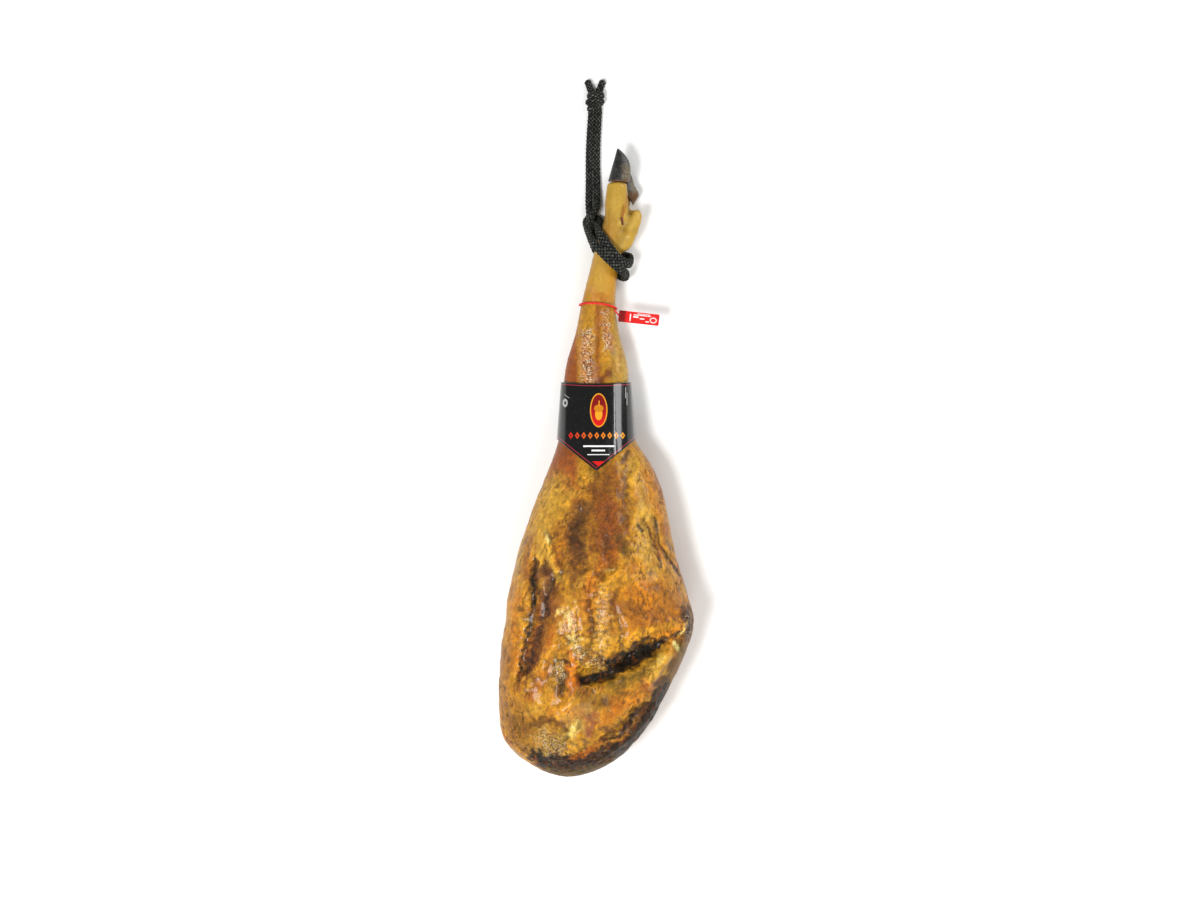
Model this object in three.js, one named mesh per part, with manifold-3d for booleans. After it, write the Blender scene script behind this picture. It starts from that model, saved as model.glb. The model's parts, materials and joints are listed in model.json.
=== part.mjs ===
// Whole cured ham: one leg with its foot, two horn claws, a card label sleeve,
// a strap seal with its tag, and a hanging rope hitched round the shank.
// Millimetres. +Z is up, +Y runs from the butt to the hoof, and the origin is the
// middle of the flat patch that the leg rests on. The outer, rounder side is down.
import * as THREE from 'three';
import { mergeVertices } from 'three/addons/utils/BufferGeometryUtils.js';
import Module from 'manifold-3d';

const wasm = await Module();
wasm.setup();

// ---- driving sizes -------------------------------------------------------------

const legLength = 732;        // butt to the end of the pastern, where the toes take over
const buttReach = 212;        // how far of that lies behind the origin
const bodyWidth = 250;        // across the widest part of the leg
const bodyThickness = 136;    // from the rest patch to the highest point of the body
const restSink = 5;           // how deep the round underside is pressed flat
const boxy = 0.9;             // 1 is an oval section, less is squarer
const fitGap = 0.3;           // between pieces that touch

const toe = { length: 68, halfWidth: 15.2, halfHeight: 10.2, tipHalfWidth: 12 };
const upperToe = { z: 36.5, shift: 2.8, shorter: 0, clawTurn: 0 };
const lowerToe = { z: 14.5, shift: 13, shorter: 14, clawTurn: -5 };
const claw = { length: 42, bow: 2.6, tipHalfWidth: 1, tipHalfHeight: 2.2 };
const dewclaw = { start: -20, length: 54, side: 4, reach: 26, baseHalf: 11, taper: 0.6, upperZ: 36, lowerZ: 18 };

const sleeve = { top: 290, back: 224, point: 177, corner: 216, board: 0.8, ease: 0.35, topDip: 5 };
const strap = { along: 386.5, rise: 0.1, width: 2.6, thick: 1.6, ease: 0.6 };
const tag = { length: 52, width: 14.6, thick: 1.4, corner: 1.6, headLength: 9, headThick: 4, droop: 6.5, height: 41, overhang: 1.4 };
const rope = { diameter: 8.8, sides: 10, steps: 80 };
const knot = { length: 27, width: 25, height: 16, tailLength: 20, tailSpread: 0.42 };

// ---- the leg's profile ---------------------------------------------------------
// along is a share of the leg's length from the butt; left, right are shares of the
// body's width from the leg's axis; under, waist, top are shares of its thickness,
// where waist is the height of the widest line.
const profile = [
  // along   left    right   under   waist   top
  [0.000, -0.140, -0.140,  0.400,  0.400,  0.400],
  [0.014, -0.300,  0.030,  0.240,  0.400,  0.590],
  [0.031, -0.380,  0.110,  0.160,  0.400,  0.690],
  [0.064, -0.468,  0.212,  0.080,  0.400,  0.795],
  [0.112, -0.492,  0.304,  0.025,  0.405,  0.875],
  [0.167, -0.492,  0.392,  0.004,  0.415,  0.930],
  [0.228, -0.478,  0.472,  0.000,  0.425,  0.970],
  [0.269, -0.456,  0.500,  0.000,  0.430,  0.990],
  [0.324, -0.440,  0.458,  0.000,  0.430,  0.985],
  [0.392, -0.394,  0.400,  0.014,  0.430,  0.925],
  [0.460, -0.328,  0.360,  0.050,  0.412,  0.825],
  [0.529, -0.248,  0.304,  0.084,  0.382,  0.709],
  [0.583, -0.192,  0.202,  0.106,  0.340,  0.596],
  [0.645, -0.175,  0.168,  0.113,  0.305,  0.496],
  [0.713, -0.156,  0.164,  0.106,  0.270,  0.433],
  [0.768, -0.108,  0.120,  0.095,  0.241,  0.390],
  [0.822, -0.076,  0.100,  0.084,  0.222,  0.365],
  [0.877, -0.036,  0.112,  0.074,  0.206,  0.335],
  [0.918, -0.006,  0.132,  0.074,  0.201,  0.326],
  [0.959,  0.032,  0.162,  0.071,  0.200,  0.326],
  [0.986,  0.060,  0.150,  0.097,  0.203,  0.308],
  [1.000,  0.108,  0.108,  0.206,  0.206,  0.206],
];

// The hollows (negative) and swellings of the upper side: where, how far they reach
// across and along the leg, how deep, and how far that pair is turned to the left.
const relief = [
  { x: -68, y: -2, across: 13, along: 78, rise: -8, turn: -14 },    // groove beside the left roll
  { x: -20, y: 95, across: 26, along: 55, rise: -5, turn: 0 },      // hollow above the middle
  { x: 52, y: 12, across: 46, along: 38, rise: 7, turn: 0 },        // haunch swelling
  { x: 46, y: -56, across: 44, along: 13, rise: -22, turn: 20 },    // pocket under the haunch
  { x: -66, y: -76, across: 40, along: 16, rise: -5, turn: 60 },    // dip beside the diagonal roll
  { x: -10, y: -130, across: 70, along: 45, rise: 4, turn: 0 },     // rump swelling
  { x: 60, y: 160, across: 10, along: 50, rise: -3, turn: 12 },     // tendon hollow
];

const deg = Math.PI / 180;

// Where a share of the leg's length lies, and the polar angle of a sphere there: the
// ends close round because widths grow with that angle.
const alongAt = (share) => share * legLength - buttReach;
const polarAt = (share) => Math.acos(1 - 2 * THREE.MathUtils.clamp(share, 0, 1));

// One column of the profile, read on a smooth curve through its rows.
function profileValue(column, share) {
  const u = polarAt(share);
  let i = 0;
  while (i < profile.length - 2 && polarAt(profile[i + 1][0]) < u) i += 1;
  const rows = [i - 1, i, i + 1, i + 2].map((k) => profile[THREE.MathUtils.clamp(k, 0, profile.length - 1)]);
  const [u0, u1, u2, u3] = rows.map((row) => polarAt(row[0]));
  const [v0, v1, v2, v3] = rows.map((row) => row[column]);
  const slope = (va, vb, ua, ub) => (ub > ua ? (vb - va) / (ub - ua) : 0);
  const span = u2 - u1;
  const t = (u - u1) / span;
  const m1 = slope(v0, v2, u0, u2) * span;
  const m2 = slope(v1, v3, u1, u3) * span;
  return (2 * t ** 3 - 3 * t ** 2 + 1) * v1 + (t ** 3 - 2 * t ** 2 + t) * m1
    + (3 * t ** 2 - 2 * t ** 3) * v2 + (t ** 3 - t ** 2) * m2;
}

// The leg's cross-section at a distance along it: its middle, half width, and how far
// it reaches above and below its widest line.
function sectionAt(y) {
  const share = (y + buttReach) / legLength;
  const [left, right, under, waist, top] = [1, 2, 3, 4, 5].map((column) => profileValue(column, share));
  const thickness = bodyThickness + restSink;
  const sunk = restSink * (1 - THREE.MathUtils.smoothstep(y, 60, 260));
  const height = (value) => value * thickness - sunk;
  return {
    middle: (left + right) / 2 * bodyWidth,
    half: (right - left) / 2 * bodyWidth,
    waist: height(waist),
    above: (top - waist) * thickness,
    below: (waist - under) * thickness,
  };
}

// A point of the section's outline, grown outwards by a distance. Angle 0 is the right
// edge and a quarter turn is the top.
function sectionPoint(y, angle, grow = 0) {
  const s = sectionAt(y);
  const c = Math.cos(angle);
  const n = Math.sin(angle);
  const reach = n > 0 ? s.above : s.below;
  return new THREE.Vector3(
    s.middle + (s.half + grow) * Math.sign(c) * Math.abs(c) ** boxy,
    y,
    s.waist + (reach + grow) * Math.sign(n) * Math.abs(n) ** boxy,
  );
}

function reliefAt(x, y) {
  let rise = 0;
  for (const r of relief) {
    const [c, n] = [Math.cos(r.turn * deg), Math.sin(r.turn * deg)];
    const across = ((x - r.x) * c + (y - r.y) * n) / r.across;
    const along = (-(x - r.x) * n + (y - r.y) * c) / r.along;
    rise += r.rise * Math.exp(-(across ** 2 + along ** 2));
  }
  return rise;
}

// ---- making solids -------------------------------------------------------------

// Moves every vertex of a geometry with one function.
function reshape(geometry, place) {
  const at = geometry.attributes.position;
  for (let i = 0; i < at.count; i += 1) {
    const p = place(new THREE.Vector3().fromBufferAttribute(at, i));
    at.setXYZ(i, p.x, p.y, p.z);
  }
  geometry.deleteAttribute('normal');
  geometry.deleteAttribute('uv');
  return mergeVertices(geometry, 1e-4);
}

// A closed body along +Y whose rings are placed by a function of the share of its
// length, the angle, and the share of the radius (0 at the middle of its end caps).
function loft(sides, rings, ring) {
  const cylinder = new THREE.CylinderGeometry(1, 1, 1, sides, rings);
  return reshape(cylinder, (p) => ring(p.y + 0.5, Math.atan2(p.z, p.x), Math.hypot(p.x, p.z)));
}

function solidOf(geometry) {
  const merged = geometry.index && !geometry.attributes.uv ? geometry : reshape(geometry, (p) => p);
  return new wasm.Manifold(new wasm.Mesh({
    numProp: 3,
    vertProperties: new Float32Array(merged.attributes.position.array),
    triVerts: new Uint32Array(merged.index.array),
  }));
}

function geometryOf(solid) {
  const mesh = solid.getMesh();
  const geometry = new THREE.BufferGeometry();
  geometry.setAttribute('position', new THREE.BufferAttribute(new Float32Array(mesh.vertProperties), 3));
  geometry.setIndex(new THREE.BufferAttribute(new Uint32Array(mesh.triVerts), 1));
  return geometry;
}

function block(x0, x1, y0, y1, z0, z1) {
  const box = new THREE.BoxGeometry(x1 - x0, y1 - y0, z1 - z0);
  return solidOf(box.translate((x0 + x1) / 2, (y0 + y1) / 2, (z0 + z1) / 2));
}

// ---- the leg -------------------------------------------------------------------

const pasternEnd = alongAt(1);
const footMiddle = sectionAt(alongAt(0.972)).middle;
const toeStart = pasternEnd - 42;

function legBody() {
  const sphere = new THREE.SphereGeometry(1, 44, 60);
  return solidOf(reshape(sphere, (p) => {
    const y = alongAt((1 + p.y) / 2);
    const angle = Math.atan2(p.z, p.x);
    const ring = Math.hypot(p.x, p.z);
    if (ring < 1e-4) {
      const s = sectionAt(y);
      return new THREE.Vector3(s.middle, y, s.waist);
    }
    const point = sectionPoint(y, angle);
    const top = Math.max(0, Math.sin(angle));
    point.z += reliefAt(point.x, y) * top;
    return point;
  }));
}

// A toe runs from inside the pastern to a flat end that the horn claw sits against.
function toeBody({ z, shift, shorter }) {
  return solidOf(loft(20, 6, (share, angle, radius) => {
    const width = THREE.MathUtils.lerp(toe.halfWidth, toe.tipHalfWidth, share ** 2);
    const round = Math.min(1, 0.4 + 4 * share);
    return new THREE.Vector3(
      footMiddle + shift * share + width * round * radius * Math.cos(angle),
      toeStart + share * (toe.length - shorter),
      z + toe.halfHeight * round * radius * Math.sin(angle),
    );
  }));
}

// A dewclaw stands out behind the foot and bends towards the hoof, with a blunt tip.
function dewclawBody(z) {
  const axisAt = (share) => new THREE.Vector3(
    footMiddle + dewclaw.side + dewclaw.reach * share ** 0.75,
    toeStart + dewclaw.start + dewclaw.length * share,
    z,
  );
  const side = axisAt(1).sub(axisAt(0)).cross(new THREE.Vector3(0, 0, 1)).normalize();
  return solidOf(loft(20, 8, (share, angle, radius) => {
    const half = dewclaw.baseHalf * (1 - dewclaw.taper * share ** 1.6);
    const round = Math.min(1, 0.55 + 3 * share, share > 0.999 ? 0.55 : 1);
    return axisAt(share)
      .addScaledVector(side, half * round * radius * Math.cos(angle))
      .add(new THREE.Vector3(0, 0, half * 0.82 * round * radius * Math.sin(angle)));
  }));
}

function makeHam() {
  let solid = legBody();
  solid = solid.add(toeBody(upperToe));
  solid = solid.add(toeBody(lowerToe));
  solid = solid.add(dewclawBody(dewclaw.upperZ));
  solid = solid.add(dewclawBody(dewclaw.lowerZ));
  const reach = legLength;
  return geometryOf(solid.subtract(block(-reach, reach, -reach, reach, -reach, 0)));
}

// ---- the horn claws ------------------------------------------------------------

// The front edge of a claw is straight and its sole side is bowed, so the rings shift
// towards the sole half way along.
function clawBody({ z, shift, shorter, clawTurn }) {
  const start = toeStart + toe.length - shorter + fitGap;
  const proud = 0.4;
  const baseHeight = toe.halfHeight + proud;
  return loft(20, 7, (share, angle, radius) => {
    const taper = 1 - share;
    const width = THREE.MathUtils.lerp(claw.tipHalfWidth, toe.tipHalfWidth + proud, taper ** 0.92);
    const height = THREE.MathUtils.lerp(claw.tipHalfHeight, baseHeight, taper ** 0.75);
    const bend = claw.bow * Math.sin(Math.PI * share) + clawTurn * share;
    return new THREE.Vector3(
      footMiddle + shift + bend + width * radius * Math.cos(angle),
      start + share * claw.length,
      z + height * radius * Math.sin(angle),
    );
  });
}

// ---- the label sleeve ----------------------------------------------------------

// The card doesn't follow the leg's curve: it runs straight from its top edge to its
// point along the front, and straight from its top edge to its back edge at the sides.
function sleevePoint(y, angle, radius, grow) {
  const upper = sectionAt(sleeve.top);
  const lower = sectionAt(sleeve.back);
  const front = sectionAt(sleeve.point);
  const down = (sleeve.top - y) / (sleeve.top - sleeve.back);
  const downFront = (sleeve.top - y) / (sleeve.top - sleeve.point);
  const mix = (key) => THREE.MathUtils.lerp(upper[key], lower[key], down);
  const [middle, waist] = [mix('middle'), mix('waist')];
  const topLine = THREE.MathUtils.lerp(upper.waist + upper.above, front.waist + front.above, downFront);
  const [c, n] = [Math.cos(angle), Math.sin(angle)];
  const reach = n > 0 ? topLine - waist : mix('below');
  return new THREE.Vector3(
    middle + radius * (mix('half') + grow) * Math.sign(c) * Math.abs(c) ** boxy,
    y,
    waist + radius * (reach + grow) * Math.sign(n) * Math.abs(n) ** boxy,
  );
}

// How far the leg stands out past the straight card, at most, anywhere under it.
function sleeveBulge() {
  const [stations, spokes] = [24, 60];
  const { middle } = sectionAt(sleeve.back);
  const slant = (sleeve.corner - sleeve.point) / sectionAt(sleeve.corner).half;
  let most = 0;
  for (let i = 0; i <= stations; i += 1) {
    const y = THREE.MathUtils.lerp(sleeve.point, sleeve.top, i / stations);
    const s = sectionAt(y);
    for (let j = 0; j < spokes; j += 1) {
      const angle = j / spokes * 2 * Math.PI;
      const p = sleevePoint(y, angle, 1, 0);
      const edge = Math.sin(angle) > 0 ? sleeve.point + slant * Math.abs(p.x - middle) : sleeve.back;
      if (y >= Math.min(edge, sleeve.top)) {
        const across = Math.abs(p.x - s.middle) / s.half;
        const up = Math.abs(p.z - s.waist) / (p.z > s.waist ? s.above : s.below);
        const size = (across ** (2 / boxy) + up ** (2 / boxy)) ** (boxy / 2);
        most = Math.max(most, (1 / size - 1) * Math.hypot(p.x - s.middle, p.z - s.waist));
      }
    }
  }
  return most;
}

function sleeveShell(grow) {
  const spare = 12;
  return solidOf(loft(56, 6, (share, angle, radius) => {
    const y = THREE.MathUtils.lerp(sleeve.point - spare, sleeve.top + spare, share);
    return sleevePoint(y, angle, radius, grow);
  }));
}

// The front is cut to a point and the back is cut straight.
function sleeveCut() {
  const wide = sectionAt(sleeve.back).half + 20;
  const middle = sectionAt(sleeve.back).middle;
  const waist = sectionAt((sleeve.top + sleeve.back) / 2).waist;
  const deep = 120;
  const outline = new THREE.Shape();
  outline.moveTo(middle - wide, sleeve.back);
  outline.lineTo(middle - sectionAt(sleeve.corner).half, sleeve.corner);
  outline.lineTo(middle, sleeve.point);
  outline.lineTo(middle + sectionAt(sleeve.corner).half, sleeve.corner);
  outline.lineTo(middle + wide, sleeve.back);
  outline.lineTo(middle + wide, sleeve.top + sleeve.topDip / 2);
  outline.quadraticCurveTo(middle, sleeve.top - 1.5 * sleeve.topDip, middle - wide, sleeve.top + sleeve.topDip / 2);
  outline.closePath();
  const front = new THREE.ExtrudeGeometry(outline, { depth: deep, bevelEnabled: false, curveSegments: 12 });
  const back = block(middle - wide, middle + wide, sleeve.back, sleeve.top, waist - deep, waist + 1);
  return solidOf(front.translate(0, 0, waist)).add(back);
}

function makeSleeve() {
  const inside = sleeveBulge() + sleeve.ease;
  const shell = sleeveShell(inside + sleeve.board).subtract(sleeveShell(inside));
  return geometryOf(shell.intersect(sleeveCut()));
}

// ---- the strap seal ------------------------------------------------------------

function makeStrap() {
  const tube = 0.1;
  const torus = new THREE.TorusGeometry(1, tube, 6, 36);
  const clear = strap.ease + strap.thick / 2;
  return reshape(torus, (p) => {
    const angle = Math.atan2(p.y, p.x);
    const out = (Math.hypot(p.x, p.y) - 1) / tube * strap.thick / 2;
    const point = sectionPoint(strap.along, angle, clear + out);
    point.y -= p.z / tube * strap.width / 2 + strap.rise * point.x;
    return point;
  });
}

// The tag is a flat plate with a thicker lock head at the strap's end.
function makeTag() {
  const [l, w, r] = [tag.length / 2, tag.width / 2, tag.corner];
  const outline = new THREE.Shape();
  outline.moveTo(-l + r, -w);
  outline.lineTo(l - r, -w);
  outline.absarc(l - r, -w + r, r, -Math.PI / 2, 0);
  outline.lineTo(l, w - r);
  outline.absarc(l - r, w - r, r, 0, Math.PI / 2);
  outline.lineTo(-l + r, w);
  outline.absarc(-l + r, w - r, r, Math.PI / 2, Math.PI);
  outline.lineTo(-l, -w + r);
  outline.absarc(-l + r, -w + r, r, Math.PI, 1.5 * Math.PI);
  const plate = new THREE.ExtrudeGeometry(outline, { depth: tag.thick, bevelEnabled: false, curveSegments: 4 });
  const head = block(-l, -l + tag.headLength, -w + r, w - r, -(tag.headThick - tag.thick) / 2, (tag.headThick + tag.thick) / 2);
  return geometryOf(solidOf(plate).add(head));
}

// ---- the rope ------------------------------------------------------------------

// One cord: down from the knot, over the collar, under the shank, up and across it,
// round the collar, back across the shank, under it, and up to the knot again.
const ropeRoute = [
  [-5.6, 640, 4.7], [-8.6, 590, 5.0], [-9.0, 545, 5.1], [-9.4, 518, 9.4], [-8.6, 503, 14.8],
  [-7.6, 490, 11.2], [-6.4, 479, 6.0], [-2.0, 463, 5.0], [10.0, 446, 5.0], [24.0, 432, 5.8],
  [33.5, 424.5, 12.0], [36.5, 422, 23.5], [33.5, 425.5, 38.0], [25.0, 434, 49.0], [0.6, 460.5, 50.8],
  [-9.0, 470.5, 40.5], [-14.2, 480, 31.0], [-16.6, 489, 20.5], [-17.0, 498, 9.8], [-7.5, 504.5, 4.9],
  [1.5, 500.5, 5.6], [4.6, 493.5, 15.5], [2.0, 489, 27.0], [2.4, 483.5, 39.4], [8.8, 474.2, 48.6],
  [17.0, 461.4, 52.0], [29.0, 448.8, 49.6], [39.4, 443.5, 41.0], [44.6, 445, 28.0], [43.2, 451.5, 14.5],
  [33.0, 455.5, 5.6], [6.5, 471, 7.2], [-1.4, 479.5, 14.4], [-7.4, 489, 20.8], [-7.2, 499, 24.4],
  [-2.6, 508, 21.0], [0.8, 518, 11.2], [1.0, 545, 5.1], [0.9, 590, 5.0], [3.4, 640, 4.7],
];

function makeRope() {
  const line = new THREE.CatmullRomCurve3(ropeRoute.map((p) => new THREE.Vector3(...p)), false, 'centripetal');
  const section = new THREE.Shape();
  for (let i = 0; i < rope.sides; i += 1) {
    const angle = i / rope.sides * 2 * Math.PI;
    section[i ? 'lineTo' : 'moveTo'](rope.diameter / 2 * Math.cos(angle), rope.diameter / 2 * Math.sin(angle));
  }
  return new THREE.ExtrudeGeometry(section, { steps: rope.steps, bevelEnabled: false, extrudePath: line });
}

// The knot is a lump with a flat side that the two strands run into, and two tails.
function makeKnot() {
  const start = ropeRoute[0][1] + fitGap;
  const middle = (ropeRoute[0][0] + ropeRoute.at(-1)[0]) / 2;
  const floorGap = 0.2;
  const lump = new THREE.SphereGeometry(1, 18, 12);
  const flat = (v, low) => Math.max(v, low);
  let solid = solidOf(reshape(lump, (p) => new THREE.Vector3(
    middle + p.x * knot.width / 2,
    start + knot.length * (flat(p.y, -0.75) + 0.75) / 1.75,
    floorGap + knot.height * (flat(p.z, -0.7) + 0.7) / 1.7,
  )));
  for (const side of [-1, 1]) {
    const tail = new THREE.CylinderGeometry(rope.diameter / 2, rope.diameter / 2, knot.tailLength, rope.sides);
    tail.translate(0, knot.tailLength / 2, 0).rotateZ(-side * knot.tailSpread);
    tail.translate(middle + side * 4, start + knot.length - 6, floorGap + rope.diameter / 2);
    solid = solid.add(solidOf(tail));
  }
  return geometryOf(solid);
}

// ---- the assembly --------------------------------------------------------------

const finish = {
  cured: new THREE.MeshStandardMaterial({ color: 0xb87d2e, roughness: 0.5, metalness: 0 }),
  horn: new THREE.MeshStandardMaterial({ color: 0x1e1c1a, roughness: 0.45, metalness: 0 }),
  card: new THREE.MeshStandardMaterial({ color: 0x141416, roughness: 0.25, metalness: 0 }),
  seal: new THREE.MeshStandardMaterial({ color: 0xc2201c, roughness: 0.4, metalness: 0 }),
  cord: new THREE.MeshStandardMaterial({ color: 0x16181a, roughness: 0.8, metalness: 0 }),
};

function named(name, geometry, material) {
  const mesh = new THREE.Mesh(geometry, material);
  mesh.name = name;
  return mesh;
}

const group = new THREE.Group();
group.add(
  named('ham', makeHam(), finish.cured),
  named('hoof_claw_upper', clawBody(upperToe), finish.horn),
  named('hoof_claw_lower', clawBody(lowerToe), finish.horn),
  named('label_band', makeSleeve(), finish.card),
  named('seal_strap', makeStrap(), finish.seal),
  named('rope', makeRope(), finish.cord),
  named('rope_knot', makeKnot(), finish.cord),
);

const sealTag = named('seal_tag', makeTag(), finish.seal);
const strapRight = sectionPoint(strap.along, 0, strap.ease + strap.thick);
sealTag.position.set(strapRight.x + tag.overhang + tag.length / 2, strap.along - 15, tag.height);
sealTag.rotation.z = -tag.droop * deg;
group.add(sealTag);

export default group;
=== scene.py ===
import itertools
import json
import bmesh
import bpy
import numpy as np
from functools import partial
from math import copysign, cos, exp, hypot, pi, radians, sin
from mathutils import Matrix, Vector
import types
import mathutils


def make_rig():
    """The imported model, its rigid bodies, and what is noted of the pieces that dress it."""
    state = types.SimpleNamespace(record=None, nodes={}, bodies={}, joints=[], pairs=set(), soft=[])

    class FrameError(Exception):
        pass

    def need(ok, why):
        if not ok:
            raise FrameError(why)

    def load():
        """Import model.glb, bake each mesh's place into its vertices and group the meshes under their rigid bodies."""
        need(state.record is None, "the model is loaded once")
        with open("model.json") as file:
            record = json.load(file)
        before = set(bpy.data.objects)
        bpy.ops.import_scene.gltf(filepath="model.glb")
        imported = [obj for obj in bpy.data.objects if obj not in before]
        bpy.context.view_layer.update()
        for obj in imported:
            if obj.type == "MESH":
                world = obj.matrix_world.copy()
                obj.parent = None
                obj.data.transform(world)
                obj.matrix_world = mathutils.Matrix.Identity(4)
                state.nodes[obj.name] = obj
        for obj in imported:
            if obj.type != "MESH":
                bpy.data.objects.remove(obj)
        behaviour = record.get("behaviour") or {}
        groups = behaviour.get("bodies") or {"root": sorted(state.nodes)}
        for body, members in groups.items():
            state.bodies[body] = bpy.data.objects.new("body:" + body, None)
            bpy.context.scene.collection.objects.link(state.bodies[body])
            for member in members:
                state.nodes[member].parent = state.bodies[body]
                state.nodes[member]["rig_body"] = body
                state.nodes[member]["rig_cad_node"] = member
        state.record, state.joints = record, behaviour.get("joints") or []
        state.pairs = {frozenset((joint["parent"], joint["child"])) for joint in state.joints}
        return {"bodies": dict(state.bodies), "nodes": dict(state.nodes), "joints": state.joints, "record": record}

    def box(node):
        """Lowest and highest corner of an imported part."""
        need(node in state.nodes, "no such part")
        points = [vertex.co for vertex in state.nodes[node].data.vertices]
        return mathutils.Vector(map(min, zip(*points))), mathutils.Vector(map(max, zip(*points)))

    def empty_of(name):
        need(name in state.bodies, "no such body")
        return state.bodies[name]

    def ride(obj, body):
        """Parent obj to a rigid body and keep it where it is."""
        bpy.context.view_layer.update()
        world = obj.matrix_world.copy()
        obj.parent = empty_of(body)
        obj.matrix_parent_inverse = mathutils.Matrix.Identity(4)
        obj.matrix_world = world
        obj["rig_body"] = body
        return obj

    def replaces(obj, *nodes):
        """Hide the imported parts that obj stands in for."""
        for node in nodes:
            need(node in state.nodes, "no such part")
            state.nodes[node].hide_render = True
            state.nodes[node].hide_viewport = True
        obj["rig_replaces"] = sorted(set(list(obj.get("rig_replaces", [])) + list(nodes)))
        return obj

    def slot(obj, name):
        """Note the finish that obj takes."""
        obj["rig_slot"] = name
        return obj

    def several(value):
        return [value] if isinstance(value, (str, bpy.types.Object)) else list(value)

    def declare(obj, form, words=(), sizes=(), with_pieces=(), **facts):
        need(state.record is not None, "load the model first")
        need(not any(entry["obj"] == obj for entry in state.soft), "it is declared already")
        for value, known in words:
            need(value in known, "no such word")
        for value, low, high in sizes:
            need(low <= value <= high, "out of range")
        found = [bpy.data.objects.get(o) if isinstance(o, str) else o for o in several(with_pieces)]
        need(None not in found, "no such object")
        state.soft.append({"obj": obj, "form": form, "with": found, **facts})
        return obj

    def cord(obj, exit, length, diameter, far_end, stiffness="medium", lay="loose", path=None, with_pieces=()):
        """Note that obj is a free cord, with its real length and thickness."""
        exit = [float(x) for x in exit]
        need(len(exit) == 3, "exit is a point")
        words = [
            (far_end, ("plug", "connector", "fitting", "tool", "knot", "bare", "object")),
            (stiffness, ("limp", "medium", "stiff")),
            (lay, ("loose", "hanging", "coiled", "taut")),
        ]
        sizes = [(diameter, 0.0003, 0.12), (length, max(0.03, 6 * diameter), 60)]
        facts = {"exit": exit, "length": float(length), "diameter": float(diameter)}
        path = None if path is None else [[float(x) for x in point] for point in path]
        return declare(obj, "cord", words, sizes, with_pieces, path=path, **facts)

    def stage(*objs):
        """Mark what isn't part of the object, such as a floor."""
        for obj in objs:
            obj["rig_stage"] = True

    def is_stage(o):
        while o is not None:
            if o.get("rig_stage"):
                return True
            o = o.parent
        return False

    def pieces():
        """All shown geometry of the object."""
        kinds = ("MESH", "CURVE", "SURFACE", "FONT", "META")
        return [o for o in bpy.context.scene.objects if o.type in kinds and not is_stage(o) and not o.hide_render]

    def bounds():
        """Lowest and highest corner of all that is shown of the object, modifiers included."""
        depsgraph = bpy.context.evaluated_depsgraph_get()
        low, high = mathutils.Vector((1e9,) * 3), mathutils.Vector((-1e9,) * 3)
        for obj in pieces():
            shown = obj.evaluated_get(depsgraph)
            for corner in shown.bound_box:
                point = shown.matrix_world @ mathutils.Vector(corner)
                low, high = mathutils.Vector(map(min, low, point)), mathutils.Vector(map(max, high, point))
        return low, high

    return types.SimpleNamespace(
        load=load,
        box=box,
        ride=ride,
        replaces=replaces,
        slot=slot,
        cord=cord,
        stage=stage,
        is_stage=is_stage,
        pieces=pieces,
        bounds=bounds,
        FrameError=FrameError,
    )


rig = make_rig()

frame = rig.load()
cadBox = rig.bounds()
mm = 0.001
nearlyOne, sameSpot = 0.9999, 1e-6
scene = bpy.context.scene
scene.view_settings.view_transform = "Standard"


def addObject(name, data):
    made = bpy.data.objects.new(name, data)
    scene.collection.objects.link(made)
    return made


# the camera looks straight down on the ham
view = {"x": 5.1, "y": 203.2, "height": 3860, "middle": 60, "across": 1524, "sensor": 36}
camera = addObject("camera", bpy.data.cameras.new("camera"))
camera.location = (view["x"] * mm, view["y"] * mm, view["height"] * mm)
camera.data.lens = view["sensor"] * (view["height"] - view["middle"]) / view["across"]
camera.data.sensor_width = view["sensor"]
camera.data.clip_end = 20
scene.camera = camera


def paint(name):  # from the palette's screen colour to light
    values = [channel / 255 for channel in palette[name]]
    return [v / 12.92 if v < 0.04 else ((v + 0.055) / 1.055) ** 2.4 for v in values] + [1]


palette = {
    "ochre": (192, 138, 44), "gold": (200, 142, 38), "pale": (205, 160, 78), "amber": (190, 118, 14),
    "orange": (190, 104, 8), "rust": (138, 68, 20), "brown": (132, 76, 18), "umber": (92, 58, 26),
    "meat": (74, 38, 18), "purple": (118, 76, 52), "cream": (236, 208, 150), "tan": (176, 142, 74),
    "sand": (190, 158, 104), "redSkin": (156, 82, 34), "crust": (24, 17, 8), "olive": (84, 68, 22),
    "mould": (154, 134, 90), "pink": (190, 126, 108), "wine": (96, 30, 24), "ivory": (240, 226, 190),
    "rind": (176, 122, 52), "hornBlack": (18, 19, 17), "hornGrey": (74, 76, 70), "heel": (92, 78, 54),
    "card": (7, 7, 7), "red": (200, 22, 18), "darkRed": (118, 8, 8), "foil": (226, 150, 34),
    "white": (232, 232, 228), "cordBlack": (15, 16, 14), "cordHighlight": (112, 116, 104), "braidValleyShade": (4, 4, 4),
    "tagRed": (214, 26, 22), "dull": (172, 172, 168), "floor": (246, 246, 245), "wineLine": (150, 44, 58),
}


def addNode(kind, inputs, **settings):  # goes into the material that its linked inputs come from
    linked = {key: value for key, value in inputs.items() if isinstance(value, bpy.types.NodeSocket)}
    tree = next(iter(linked.values())).id_data
    made = tree.nodes.new("ShaderNode" + kind)
    for key, value in settings.items():
        setattr(made, key, value)
    for key, value in inputs.items():
        if key in linked:
            tree.links.new(value, made.inputs[key])
        else:
            made.inputs[key].default_value = value
    return made


def newMaterial(name, **sockets):  # what is the same all over a piece goes straight onto the shader
    made = bpy.data.materials.new(name)
    made.use_nodes = True
    shader = made.node_tree.nodes["Principled BSDF"]
    for key, value in sockets.items():
        shader.inputs[socketNames[key]].default_value = value
    return made, made.node_tree, shader


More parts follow.
